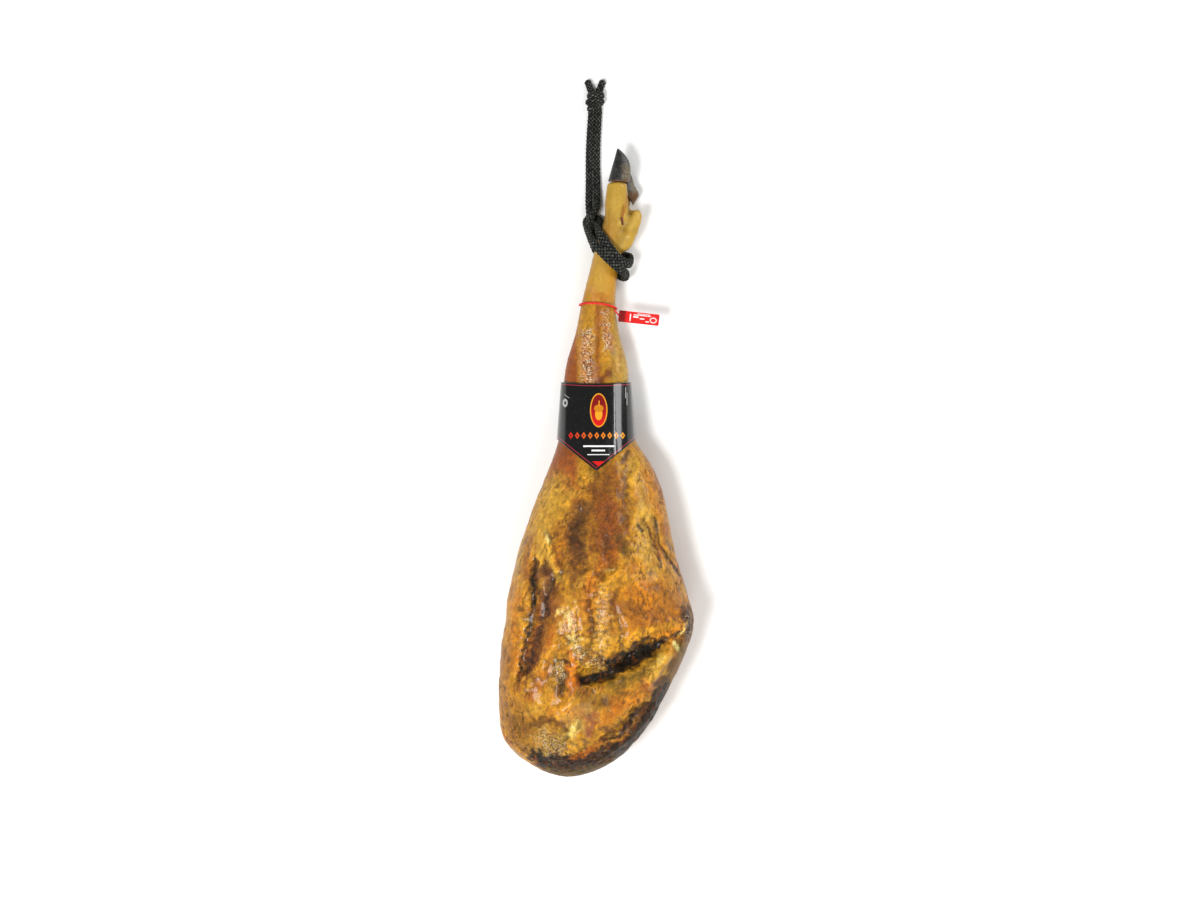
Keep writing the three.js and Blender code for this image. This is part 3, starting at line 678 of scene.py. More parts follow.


# paints, laid one over another: path, reach, how much, then how ragged in mm and how hard the edge is
# crust is both the dark crust and painted shade in the grooves, the cracks, the hollow under the lip and along the
# lower right rim
plainEdge = [1.5, 0]
strokes = [
    ("gold", (-104, 60, -112, -20, -112, -100), 34, 0.6), ("sand", (-98, 110, -106, 50), 15, 0.75),
    ("orange", (-100, 20, -104, -70), 14, 0.5, 6), ("brown", (-96, -96, -98, -118), 16, 0.55, 6),
    ("brown", (-118, -50, -116, -130, -92, -170), 22, 0.55, 8), ("brown", (-24, 26, -12, -12), 14, 0.4, 8),
    ("redSkin", (-58, 232, -44, 205, -44, 172), 26, 1, 1.5, 0.6),
    ("pale", (-50, 160, -66, 120, -80, 80), 28, 0.75), ("olive", (6, 178, 10, 160), 22, 0.4, 6),
    ("pale", (44, 188, 58, 160, 66, 140), 17, 0.7), ("orange", (62, 172, 80, 120), 14, 0.45),
    ("redSkin", (66, 196, 84, 150), 9, 0.45), ("brown", (12, 148, 16, 112, 8, 84), 40, 1, 12, 0.1),
    ("brown", (-20, 130, -34, 96, -26, 50), 22, 0.8, 8), ("rust", (14, 124, 26, 84), 26, 0.6, 9),
    ("umber", (-16, 126, -26, 96, -24, 80), 17, 0.75, 9),
    ("purple", (-24, 72, -30, 52, -18, 36), 14, 0.4, 8), ("crust", (-31, 95, -22, 84), 8, 0.6, 6),
    ("crust", (-20, 112, -24, 104), 7, 0.55, 5), ("olive", (30, 94, 38, 76), 10, 0.7, 8),
    ("umber", (14, 84, 8, 60), 9, 0.6, 7), ("purple", (-64, 52, -58, 8), 20, 0.9, 8),
    ("meat", (-62, 60, -56, 42), 8, 0.8, 7), ("brown", (-46, 30, -50, -10, -58, -50), 14, 0.7, 6),
    ("rust", (-66, 10, -70, -20, -78, -56, -88, -96), 20, 0.9, 8), ("umber", (-66, 24, -66, -8), 6, 0.7, 8),
    ("meat", (-72, -24, -80, -62, -84, -84), 9, 0.6, 7), ("orange", (-52, -24, -62, -58), 8, 0.6, 4),
    ("gold", (-36, 20, -44, -20, -52, -56), 10, 0.7, 3), ("rust", (-86, 50, -84, 90), 14, 0.6, 6),
    # dark crust and painted shade down the sunk grooves on the left
    ("crust", (-76, 74, -78, 40, -79, 8), (2, 5, 4), 1, 6),
    ("crust", (-82, 36, -90, 18, -94, 2), 3, 0.7, 5),
    ("crust", (-79, 10, -84, -20, -91, -50, -98, -88), 3.4, 0.95, 5),
    ("crust", (-48, 46, -58, 24, -61, 17), 3.6, 0.9, 4),
    ("crust", (-61, 17, -67, -10, -73, -30, -79, -54, -88, -80), 2.8, 0.85, 5),
    # on the ridge at the upper left: ivory and pale paint its highlight, umber the painted shade in the crease beside
    # it
    ("crust", (-42, 60, -46, 44), 5, 0.7, 3), ("ivory", (-63, 100, -60, 88), 6, 0.8, 4),
    ("pale", (-66, 92, -56, 68, -48, 44), 5, 0.8, 3), ("umber", (-58, 96, -50, 72, -43, 52), 3, 0.8, 1.4),
    ("amber", (60, 34, 60, 4, 92, -8), 46, 1, 6, 0.25), ("brown", (30, 8, 50, -6, 80, -4), 16, 0.6, 8),
    ("brown", (70, 36, 92, 24), 12, 0.55, 7), ("pale", (60, 124, 60, 84, 72, 52), 20, 0.8, 5),
    # ivory paints a highlight along the ridge
    ("gold", (16, 40, 52, 46), 15, 0.9, 4), ("ivory", (8, 52, 22, 54), 4, 0.6, 4),
    ("orange", (-46, 84, -48, 62), 10, 0.55, 4), ("orange", (20, 70, -4, 40, -12, 6), 15, 0.65, 6),
    # pale and pink paint the gloss highlight on the wrinkled haunch
    ("pale", (8, 30, 8, -36), 15, 0.55, 8), ("pink", (10, 14, 6, -20), 9, 0.4, 8),
    ("rust", (-10, 14, -5, -30), 4, 0.6, 5), ("rust", (20, 26, 24, 0), 4, 0.7, 2),
    ("umber", (42, 14, 60, 0), 8, 0.55, 5), ("gold", (16, -46, 56, -24, 100, -14), 9, 0.85, 2),
    # cream paints a highlight streak down the left of the middle
    ("rust", (100, 8, 108, 2, 110, -12), 3, 0.7, 2), ("cream", (-40, 2, -30, -24, -20, -54), 8, 0.75, 9),
    ("pale", (-14, -40, 6, -48), 11, 0.45, 8), ("purple", (-19, -43), 7, 0.9, 3),
    ("umber", (-16, -52, 0, -64, 18, -58), 15, 0.75, 8), ("pale", (-10, -66, 6, -70), 7, 0.8, 4),
    # painted shadow in the hollow under the hanging lip, over its dark crust
    ("crust", (-22, -86, -4, -82, 16, -79, 24, -72), 8, 1, 2.5, 0.4),
    ("crust", (20, -68, 42, -58, 62, -48, 80, -40), (11, 15, 13, 6), 1, 4, 0.55),
    ("olive", (20, -88, 50, -82, 78, -62), 12, 0.75, 6),
    ("crust", (14, -64, 38, -50, 52, -36, 66, -31, 84, -33, 106, -25), 4.5, 0.95, 4),
    ("orange", (-29, -52, -29, -98), 10, 0.7, 5, 0.2), ("rust", (-36, -58, -37, -96), 4, 0.6, 4),
    ("mould", (-50, -64, -44, -74, -44, -82), 7, 0.7, 6), ("crust", (-41, -84, -45, -102), 5, 0.85, 4),
    ("crust", (-54, -64, -42, -60, -34, -62), 3.5, 0.8, 3.5),
    ("gold", (-56, -46, -72, -70, -94, -104), 9, 0.7, 5), ("orange", (-60, -74, -80, -104), 12, 0.6, 7),
    ("umber", (-104, -140, -86, -176), 16, 0.4, 8), ("umber", (112, 0, 122, -14, 118, -36), 13, 0.95, 5),
    # at the right: crust is the cracks' dark crust and painted shade; cream, ivory and pale paint highlights on the
    # ridges beside them
    ("crust", (114, -2, 121, -22, 112, -30), 5, 0.8, 4), ("cream", (113, -16, 106, -30), 4, 0.7, 3),
    ("ivory", (98, -40, 104, -49), 3.5, 1, 1.5, 0.5), ("crust", (107, -44, 110, -52), 3.5, 0.8, 2),
    ("pale", (86, -50, 76, -68, 66, -88), 8, 0.8, 6), ("cream", (84, -56, 78, -66), 4, 0.6, 5),
    ("olive", (112, -50, 102, -70, 92, -96), 16, 0.75, 5), ("umber", (98, -62, 92, -76), 8, 0.7, 5),
    ("crust", (74, -90, 88, -84), 5, 0.85, 3), ("olive", (20, -98, -16, -110), 22, 0.4, 8),
    ("umber", (0, -118, 30, -104), 12, 0.35, 7), ("orange", (10, -134, 62, -96), 16, 0.65, 8),
    ("rust", (60, -88, 70, -102), 8, 0.6, 5), ("gold", (-66, -110, -30, -120), 18, 0.6, 6),
    ("rust", (-4, -130, -8, -152), 8, 0.9, 4), ("rust", (6, -160, -6, -172), 9, 0.6, 5),
    ("umber", (-12, -162), 6, 0.8, 4), ("purple", (8, -146, 20, -149), 7, 0.95, 4),
    ("rust", (70, -122, 50, -150, 20, -174), 13, 0.9, 4),
    # dark crust and painted shade in the lower crack
    ("crust", (66, -116, 46, -132, 37, -146), 6, 1, 4, 0.3),
    ("crust", (37, -146, 32, -155, 10, -161), 3.4, 1, 2.5),
    # darker along the lower right rim: painted shade over dark crust
    ("umber", (86, -100, 66, -140, 46, -166, 18, -188), 20, 0.8, 5),
    ("crust", (90, -104, 68, -142, 48, -168, 18, -194, -12, -208), 19, 1, 5, 0.5),
    ("umber", (-80, -142, -60, -134, -40, -140, -36, -160), 8, 0.85, 6),
    ("mould", (-66, -156, -56, -174, -44, -160), 18, 0.6, 11),
    # cream paints a highlight on the small knob
    ("umber", (-84, -150, -96, -136), 12, 0.5, 7), ("cream", (-30, -151, -23, -142), 9, 0.75, 3, 0.3),
    ("crust", (-72, -184, -54, -194, -40, -192), 17, 1, 8, 0.3),
    ("crust", (-32, -192, -8, -186, 18, -178), 16, 1, 7, 0.3),
    ("olive", (24, -194, -30, -210, -60, -206), 14, 0.9, 5), ("orange", (-2, -172, -30, -184), 6, 0.8, 4),
    # dark crust and painted shade in the cracks at the upper right
    ("crust", (60, 117, 69, 97, 74.5, 82, 78, 74, 81, 56), 2.2, 0.9, 1.6),
    ("crust", (74, 118, 77, 100, 80.5, 84, 88, 71, 98, 58, 106, 44), 2.3, 0.9, 1.6),
    ("rust", (68, 108, 80, 70), 7, 0.5, 4), ("crust", (53, 108, 58, 101), 3.4, 0.9, 2),
    ("meat", (40, 200, 34, 189), 5, 0.9, 2), ("brown", (38, 188, 34, 150, 40, 110), 4, 0.7, 3),
    ("redSkin", (-36, 352, -34, 290), 16, 1, 1.5, 0.4), ("sand", (34, 350, 38, 290), 17, 0.8),
    ("tan", (26, 372, 22, 330, 24, 292), 7, 0.8), ("redSkin", (3, 384, 2, 330, 3, 290), 7, 0.75, 1),
    ("pink", (-14, 350, -13, 320, -8, 292), (9, 12, 16), 0.8, 5, 0.2),
    ("wine", (-8, 316, -6, 296), 9, 0.55, 6), ("pink", (10, 374, 15, 350, 18, 334), 9, 0.7, 4, 0.2),
    ("redSkin", (12, 360, 18, 340), 5, 0.6, 5), ("wine", (2, 288, 16, 300), 9, 0.85, 3),
    ("pink", (-5, 410, -3, 394), 7, 0.6, 2), ("sand", (4, 454, 4, 414), 20, 0.6),
    ("redSkin", (4, 400, 16, 392, 14, 380), 9, 0.5, 2), ("redSkin", (-18, 400, -26, 372), 6, 0.5),
    ("tan", (28, 545, 24, 500, 40, 480), 46, 1, 1.5, 0.6), ("redSkin", (10, 530, 8, 498, 18, 470), 8, 0.35),
    ("brown", (22, 496, 28, 480), 20, 0.35, 3), ("sand", (44, 488, 54, 506), 9, 0.7),
    ("rust", (35, 515, 33, 500), 2.6, 0.6, 0.8), ("cream", (31, 495, 33, 489, 36, 492), 2.4, 0.8, 0.8),
    ("sand", (44, 470, 30, 480, 24, 520), 8, 0.35, 2),
    ("redSkin", (34, 502, 38, 514, 40, 528), 2.4, 0.6, 0.8),
    ("wine", (33, 499, 34.5, 491), 2.6, 1, 0.6, 0.4), ("heel", (44, 534, 47, 520), 6, 0.9, 1.5, 0.4),
    ("umber", (14, 547, 42, 545), 3, 0.7, 0.8),
]
# where the surface is oily, where it carries pale flecks and painted glints, and where it carries dark specks: path,
# reach and how much
finishes = {
    "oil": [((8, 30, 8, -36), 22, 1), ((-38, 0, -20, -52), 14, 1), ((60, 10, 90, -10), 46, 0.6),
            ((-12, 355, -10, 292), 14, 1), ((13, 378, 14, 330), 11, 1), ((-60, 30, -80, -60), 22, 0.7),
            ((0, -140, 60, -110), 24, 0.7), ((20, 60, -20, 40), 24, 0.6), ((4, 430, 8, 400), 18, 0.6),
            ((80, -60, 66, -90), 14, 0.8), ((-62, 96, -50, 50), 12, 0.8)],
    "fleckAndGlint": [((-12, 352, -10, 292), 11, 1), ((13, 376, 14, 330), 8, 1), ((-38, 0, -20, -52), 11, 0.9),
              ((8, 24, 8, -34), 12, 0.6), ((-66, -158, -50, -174), 22, 0.5), ((0, -60), 18, 0.5),
              ((118, -10, 120, -30), 9, 0.6), ((-46, -66, -44, -80), 8, 0.8)],
    "speck": [((-12, 352, -10, 292), 12, 0.9), ((13, 376, 14, 330), 9, 0.8), ((10, 150, 10, 70), 40, 0.5),
              ((-24, 120, -24, 60), 24, 0.7), ((-60, -160, -40, -200), 26, 0.9),
              ((-20, -186, 14, -180), 20, 0.9), ((-60, 40, -80, -70), 18, 0.7), ((0, -60), 22, 0.8),
              ((116, -8, 120, -30), 12, 0.9), ((-45, -80), 18, 0.9), ((60, -120, 10, -160), 16, 0.8)],
}


def paintHam(mesh, creases):
    at, way = readMesh(mesh)
    top = ramp(-0.05, 0.25, way[:, 2])
    xy = at[:, :2]
    wobble = np.stack([rugged(at, 9, 101, 4), rugged(at, 9, 111, 4)], axis=1)
    colour = np.tile(paint("ochre"), (len(at), 1))
    dry = np.zeros(len(at))

    def lay(name, share):
        colour[:] = colour + (np.array(paint(name)) - colour) * share[:, None]

    lay("rind", ramp(0.3, -0.4, way[:, 2]))
    body = ramp(230, 170, at[:, 1])
    lay("gold", 0.5 * body * ramp(-0.1, 0.8, rugged(at, 46, 121, 3)))
    lay("brown", 0.75 * body * ramp(0.05, 0.7, rugged(at, 34, 131, 4)))
    lay("pale", 0.45 * body * ramp(0.1, 0.8, rugged(at, 20, 141, 3)))
    lay("orange", 0.4 * body * ramp(0.1, 0.8, rugged(at, 27, 161, 4)))
    for name, path, reach, amount, *edge in strokes:
        ragged, hard = edge + plainEdge[len(edge):]
        d, _, share = alongPath(xy + ragged * wobble, path)
        cover = ramp(1, hard, d / reachAt(reach, share))
        if name in ("crust", "meat", "umber", "olive"):  # dark paints cover more
            cover = 1 - (1 - cover) ** 2
        lay(name, amount * top * cover)
        if name in ("crust", "umber", "olive"):
            dry = np.maximum(dry, amount * top * cover)
    lay("tan", ramp(300, 400, at[:, 1]) * (1 - top))
    lay("umber", 0.7 * body * ramp(0.25, 0.9, rugged(at * (1, 0.6, 1), 9, 151, 3)))
    # painted shade in the long wrinkles
    lay("umber", 0.4 * body * top * ramp(0.1, 0.0, creases))
    # painted light and shade from the relief: what stands out is paler, what lies low is darker
    fine = np.clip(proudness(mesh, 3) / 0.16, -1, 1)
    wide = np.clip(proudness(mesh, 14) / 0.9, -1, 1)
    shade = 1 + (0.22 * fine + 0.36 * wide) * (0.3 + 0.7 * body)  # what stands out is paler
    colour[:, :3] *= shade[:, None]
    store(mesh, "calm", ramp(372, 420, at[:, 1]))
    store(mesh, "dry", dry)
    mesh.color_attributes.new("tint", "FLOAT_COLOR", "POINT").data.foreach_set("color", colour.ravel())
    for name, patches in finishes.items():
        value = np.full(len(at), 0.04)
        for path, reach, amount in patches:
            d = nearPath(xy + 6 * wobble, path)
            value = np.maximum(value, amount * top * ramp(1, 0.2, d / reach))
        store(mesh, name, value)


def skinMaterial():
    made, tree, shader = newMaterial("curedSkin", coat=0.15, coatRough=0.14, specular=0.18,
                                     subsurface=0.06, subsurfaceScale=0.004)
    where, stretched = objectPlace(tree), objectPlace(tree, (1, 0.55, 1))
    tint = attribute(tree, "tint", "Color")
    oil, fleckAndGlint, speck = (attribute(tree, name) for name in ("oil", "fleckAndGlint", "speck"))
    broad = noise(where, 55, 5.0, 0.6, 0.6)
    middle = noise(stretched, 170, 5.0, 0.65, 0.8)
    small = noise(where, 420, 4.0, 0.7)
    grain = noise(stretched, 900, 3.0, 0.7)
    value = times(fit(broad, 0.3, 0.7, 0.82, 1.18), fit(middle, 0.3, 0.7, 0.72, 1.28))
    value = times(value, fit(small, 0.3, 0.7, 0.78, 1.22))
    calm = attribute(tree, "calm")
    calmed = addNode("Mix", {0: times(calm, 0.72), 2: value, 3: 1.0}, data_type="FLOAT")
    red = times(calmed.outputs[0], 0.85)
    green, blue = (times(red, share) for share in (0.96, 0.46))
    grey = addNode("CombineColor", {"Red": red, "Green": green, "Blue": blue}).outputs["Color"]
    colour = mix(1.0, tint, grey, "MULTIPLY")
    warm = fit(noise(stretched, 110, 4.0, 0.6, 1.0), 0.54, 0.7, 0, 0.5)
    warm = times(warm, minus(1, calm))
    colour = mix(warm, colour, "rust")
    specks = times(fit(noise(where, 330, 3.0, 0.7), 0.5, 0.56), speck, True)
    colour = mix(times(specks, 0.85), colour, "meat")
    # pale flecks, and white painted glints where the surface is wet
    flecksAndGlints = times(fit(noise(where, 470, 2.0, 0.6, 0.5), 0.53, 0.6), fleckAndGlint, True)
    colour = mix(times(flecksAndGlints, 0.6), colour, "ivory")
    link(shader, "Base Color", colour)
    rough = minus(fit(middle, 0.3, 0.7, 0.3, 0.52), times(oil, 0.17))
    rough = plus(rough, times(attribute(tree, "dry"), 0.25))
    link(shader, "Roughness", rough)
    height = plus(times(middle, 1.6), times(small, 0.8))
    height = plus(height, times(grain, 0.3))
    height = times(height, fit(calm, 0, 1, 1, 0.22))
    bump(shader, height, 0.0015, 1.0)
    return made


def buildHam():
    copy = bmesh.new()
    copy.from_mesh(frame["nodes"]["ham"].data)
    bmesh.ops.remove_doubles(copy, verts=copy.verts, dist=1e-5)
    mesh = remeshed(toMesh("ham_copy", copy), ham["coarse"])
    smoothed(mesh, 8)
    sculptBig(mesh)
    mesh = remeshed(mesh, ham["fine"])
    smoothed(mesh, 2)
    paintHam(mesh, sculptFine(mesh))
    return mesh


hamMesh = buildHam()
hamMesh.name = "ham_skin"
asPiece("ham_skin", hamMesh, skinMaterial(), "cured_skin", "ham")
print("ham", len(hamMesh.polygons))

# the horn claws: sizes in mm, the rest as shares of the length
claw = {"length": 42, "tip": 1, "tipHigh": 2, "taper": 0.75, "rings": 13, "ridge": 0.16, "crowd": 0.8,
        "crumbleAt": 0.1, "crumbleReach": 0.13, "skirtReach": 0.12, "skirtIn": 0.35,
        "around": 72, "along": 64}
claws = [
    {"node": "hoof_claw_upper", "left": 15.4, "tip": 27, "half": 13.2, "full": 2.6, "heel": 0.6, "skirt": 1.5,
     "seed": 201},
    {"node": "hoof_claw_lower", "left": 18, "tip": 32.6, "half": 15.4, "full": 1.6, "heel": 7.5, "skirt": 15,
     "seed": 207},
]


def clawMesh(spec):
    low, high = (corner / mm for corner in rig.box(spec["node"]))
    start, x, z = low.y, (low.x + high.x) / 2, (low.z + high.z) / 2
    wide, deep = (high.x - low.x) / 2, (high.z - low.z) / 2

    def place(u, v):
        angle = 2 * pi * u
        sole = max(0, cos(angle)) ** 2
        half = claw["tip"] + (spec["half"] - claw["tip"]) * (1 - v ** spec["full"])
        tall = claw["tipHigh"] + (deep - claw["tipHigh"]) * (1 - v) ** claw["taper"]
        wave = 2 * pi * claw["rings"] * v ** claw["crowd"] + 0.5 * sin(3 * angle)
        growth = claw["ridge"] * sin(wave)
        growth *= min(1, 4 * v) * (1 - 0.6 * v)  # growth rings start softly and fade towards the tip
        left = spec["left"] + (spec["tip"] - spec["left"]) * v  # the front edge is straight
        crumble = spec["heel"] * sole * exp(-((v - claw["crumbleAt"]) / claw["crumbleReach"]) ** 2)
        rim = spec["skirt"] * sole * exp(-v / claw["skirtReach"])
        return Vector((left + half + (half + growth) * cos(angle) + crumble - claw["skirtIn"] * rim,
                       start + v * claw["length"] - rim,
                       z + (tall + growth) * sin(angle))) * mm

    mesh = toMesh(spec["node"] + "_horn", rolled(claw["around"], claw["along"], place))
    at, way = readMesh(mesh)
    heel = ramp(x + wide * 0.1, x + wide * 0.8, at[:, 0]) * ramp(start + 30, start + 12, at[:, 1])
    chips = 0.7 * heel * rugged(at, 4, spec["seed"], 3) + 0.06 * rugged(at, 3, spec["seed"] + 5, 2)
    at += way * chips[:, None]
    writeMesh(mesh, at)
    store(mesh, "heel", heel)
    store(mesh, "length", (at[:, 1] - start) / claw["length"])
    return mesh


def hornMaterial():
    made, tree, shader = newMaterial("claw_horn", specular=0.5, coat=0.15, coatRough=0.3)
    where, fibres = objectPlace(tree), objectPlace(tree, (1, 0.18, 1))
    streak = noise(fibres, 700, 4.0, 0.7)
    blotch = noise(where, 220, 4.0, 0.65)
    heel = attribute(tree, "heel")
    base = mix(fit(times(streak, blotch), 0.2, 0.42, 0, 0.55), "hornBlack", "hornGrey")
    ragged = times(heel, fit(blotch, 0.3, 0.55, 0.35, 1.2), True)
    base = mix(ragged, base, "heel")
    near = fit(attribute(tree, "length"), 0.0, 0.06, 0.8, 0)
    base = mix(near, base, "umber")
    link(shader, "Base Color", base)
    link(shader, "Roughness", fit(blotch, 0.3, 0.7, 0.26, 0.5))
    bump(shader, plus(streak, times(blotch, heel)), 0.0006, 0.7)
    return made


clawHorn = hornMaterial()
for spec in claws:
    asPiece(spec["node"] + "_horn", clawMesh(spec), clawHorn, "horn", spec["node"])
print("claws")

# the label sleeve: heights along the leg, then its two outlines and its fold, all in mm
sleeve = {
    "top": 290, "back": 224, "point": 177, "corner": 216, "dip": 5, "wide": 66.9, "halfCorner": 48.9,
    "upper": {"middle": 0.13, "half": 41.66, "waist": 40.03, "above": 24.18, "below": 24.53},
    "lower": {"middle": 0.48, "half": 46.91, "waist": 46.39, "above": 34, "below": 31.48},
    "frontHeight": 97.46, "boxy": 0.9, "outside": 3.2, "board": 0.8, "flare": 0.44, "turn": 0.12,
    "fold": 1, "foldReach": 9, "foldRound": 1.4, "foldAlong": [198, 234, 282], "foldAt": [29.7, 25.3, 23.5],
    "startAt": 250, "passes": 4, "around": 200, "along": 70, "rimShare": 0.78,
}


def sleeveEdges(x, front):
    middle = sleeve["lower"]["middle"]
    off = abs(x - middle)
    top = sleeve["top"] + (sleeve["dip"] / 2 - sleeve["dip"] * (1 - (off / sleeve["wide"]) ** 2)) * front
    slant = (sleeve["corner"] - sleeve["point"]) / sleeve["halfCorner"]
    vee = sleeve["point"] + slant * off
    if off > sleeve["halfCorner"]:
        vee = sleeve["corner"] + sleeve["flare"] * (off - sleeve["halfCorner"])
    return top, sleeve["back"] + (vee - sleeve["back"]) * front


def sleevePoint(angle, y):
    down = (sleeve["top"] - y) / (sleeve["top"] - sleeve["back"])
    middle, half, waist, below = (sleeve["upper"][k] + (sleeve["lower"][k] - sleeve["upper"][k]) * down
                                  for k in ("middle", "half", "waist", "below"))
    high = sleeve["upper"]["waist"] + sleeve["upper"]["above"]
    high += (sleeve["frontHeight"] - high) * (sleeve["top"] - y) / (sleeve["top"] - sleeve["point"])
    c, n = cos(angle), sin(angle)
    grow = sleeve["outside"]
    reach = high - waist if n > 0 else below
    x = middle + (half + grow) * boxed(c, sleeve["boxy"])
    z = waist + (reach + grow) * boxed(n, sleeve["boxy"])
    if n > 0:
        folded = np.interp(y, sleeve["foldAlong"], sleeve["foldAt"])
        off = hypot(x - folded, sleeve["foldRound"]) - sleeve["foldRound"]
        z += sleeve["fold"] * max(0, 1 - off / sleeve["foldReach"])
    return Vector((x, y, z))


def sleeveMesh():
    rims = {}

    def place(u, v):
        angle = 2 * pi * u
        front = min(1, max(0, sin(angle) / sleeve["turn"]))
        y = sleeve["startAt"]
        for _ in range(sleeve["passes"]):  # the edges depend on x, and x on the height
            x = sleevePoint(angle, y).x
            top, bottom = sleeveEdges(x, front)
            y = top + (bottom - top) * v
        point = sleevePoint(angle, y) * mm
        above = (y - bottom) * (sleeve["rimShare"] if front > 0.5 else 1)
        rims[tuple(round(c, 7) for c in point)] = min(top - y, above)
        return point

    bm = rolled(sleeve["around"], sleeve["along"], place, ends=False)
    gaps = [rims[tuple(round(c, 7) for c in vert.co)] for vert in bm.verts]
    mesh = toMesh("label_sleeve", bm)
    store(mesh, "rim", gaps)
    return mesh


def within(value, middle, half, soft=0.25):  # masks, 1 inside and 0 outside, from places in mm
    gap = calc("ABSOLUTE", minus(value, middle))
    return plus(over(minus(half, gap), soft), 0.5, True)


def oval(x, y, at, size, soft=0.04):
    a = calc("POWER", over(minus(x, at[0]), size[0]), 2)
    b = calc("POWER", over(minus(y, at[1]), size[1]), 2)
    out = calc("SQRT", plus(a, b))
    return plus(over(minus(1, out), soft), 0.5, True)


def box(x, y, at, half):
    return times(within(x, at[0], half[0]), within(y, at[1], half[1]))


def lozenges(x, y, row):
    ends = {0: minus(x, row["from"]), 1: row["gap"] / 2, 2: -row["gap"] / 2}
    step = addNode("Math", ends, operation="WRAP").outputs[0]
    a = over(calc("ABSOLUTE", step), row["half"])
    b = over(calc("ABSOLUTE", minus(y, row["y"])), row["tall"])
    shape = times(minus(1, plus(a, b)), 6, True)
    hole = times(minus(row["hole"], plus(a, b)), 6, True)
    shape = minus(shape, hole, True)
    return times(shape, within(x, row["middle"], row["reach"]))


# what is printed on the card, in mm: paint, shape, middle, half size and how soft the edge is
marks = [
    ("foil", oval, (3.5, 253.5), (11, 21.5)), ("glow", oval, (3.5, 253.5), (9.7, 20)),
    ("foil", oval, (3.5, 248.5), (4.6, 7.6), 0.12), ("amber", oval, (3.5, 255.9), (5.9, 4.6), 0.12),
    ("foil", box, (3.9, 262.5), (0.6, 3.2)), ("white", box, (3.5, 208), (19.5, 1)),
    ("white", box, (3, 202.6), (8.5, 1)), ("white", box, (3, 197.4), (14, 0.5)),
    ("dull", oval, (-39.2, 263), (3.2, 5.2), 0.3), ("card", oval, (-39.2, 263), (1.5, 2.4), 0.5),
    ("dull", box, (37.6, 276), (0.4, 7)), ("dull", box, (39.4, 268), (0.35, 8)),
]
lozengeRow = {"from": 1, "gap": 8.2, "y": 221.5, "half": 3.3, "tall": 4.8, "hole": 0.42, "middle": 1,
              "reach": 37, "reddest": -34, "goldest": 34}
prints = {"above": 50, "border": (2.9, 0.45), "glow": (236, 262),
          "slant": 0.8, "slantAt": 241.8, "slantHalf": 0.4, "slantSpan": (-37, 3),
          "wedgeFrom": 182.5, "wedgeTo": 189, "wedgeWide": 1.25, "wedgeMiddle": 3}


def cardMaterial():
    made, tree, shader = newMaterial("glossyCard", rough=0.17, specular=0.28, coat=0.5, coatRough=0.08)
    where, size = objectPlace(tree), objectPlace(tree, (1 / mm, 1 / mm, 1 / mm))
    axes = addNode("SeparateXYZ", {"Vector": size})
    x, y, z = (axes.outputs[k] for k in "XYZ")
    front = calc("GREATER_THAN", z, prints["above"])
    scuff = noise(where, 260, 4.0, 0.7)
    colour = mix(fit(scuff, 0.55, 0.8, 0, 0.25), "card", "hornGrey")

    def lay(name, mask):
        return mix(times(mask, front), colour, name)

    rim = attribute(tree, "rim")
    colour = lay("wineLine", within(rim, *prints["border"]))
    glow = mix(fit(y, *prints["glow"]), "red", "darkRed")
    for name, shape, *sizes in marks:
        colour = lay(glow if name == "glow" else name, shape(x, y, *sizes))
    shade = mix(fit(x, lozengeRow["reddest"], lozengeRow["goldest"]), "red", "foil")
    colour = lay(shade, lozenges(x, y, lozengeRow))
    wedge = times(minus(y, prints["wedgeFrom"]), prints["wedgeWide"])
    wedge = minus(wedge, calc("ABSOLUTE", minus(x, prints["wedgeMiddle"])))
    colour = lay("red", times(times(wedge, 3, True), calc("LESS_THAN", y, prints["wedgeTo"])))
    tilted = plus(y, times(x, prints["slant"]))
    slant = times(within(tilted, prints["slantAt"], prints["slantHalf"]), within(x, *prints["slantSpan"]))
    colour = lay("dull", slant)
    link(shader, "Base Color", colour)
    bump(shader, noise(where, 40, 2.0), 0.0008, 0.25)
    return made


sleevePiece = asPiece("label_sleeve", sleeveMesh(), cardMaterial(), "glossy_card", "label_band")
sleeveWall = sleevePiece.modifiers.new("board", "SOLIDIFY")
sleeveWall.thickness = sleeve["board"] * mm
sleeveWall.offset = -1
print("sleeve")

# the strap seal and its tag, in mm and degrees
strap = {"along": 386.5, "middle": 2.71, "half": 22.4, "waist": 31.5, "above": 20.26, "below": 19.53,
         "clear": 1.4, "thick": 1.6, "width": 2.6, "lean": 0.1, "arch": 3.4, "teeth": 64, "tooth": 0.18,
         "boxy": 0.9, "square": 0.5, "section": 12, "around": 384}


def strapMesh():
    def place(u, v):
        angle, section = 2 * pi * v, 2 * pi * u
        c, n = cos(angle), sin(angle)
        tooth = strap["tooth"] * sin(angle * strap["teeth"]) * max(0, cos(section))
        out = strap["clear"] + strap["thick"] / 2 * boxed(cos(section), strap["square"]) + tooth
        reach = strap["above"] if n > 0 else strap["below"]
        x = strap["middle"] + (strap["half"] + out) * boxed(c, strap["boxy"])
        z = strap["waist"] + (reach + out) * boxed(n, strap["boxy"])
        y = strap["along"] - strap["lean"] * x + strap["arch"] * max(0, n) ** 1.5
        y += strap["width"] / 2 * boxed(sin(section), strap["square"])
        return Vector((x, y, z)) * mm

    bm = rolled(strap["section"], strap["around"], place, ends=False, ring=True)
    return toMesh("seal_strap_ribbed", bm)


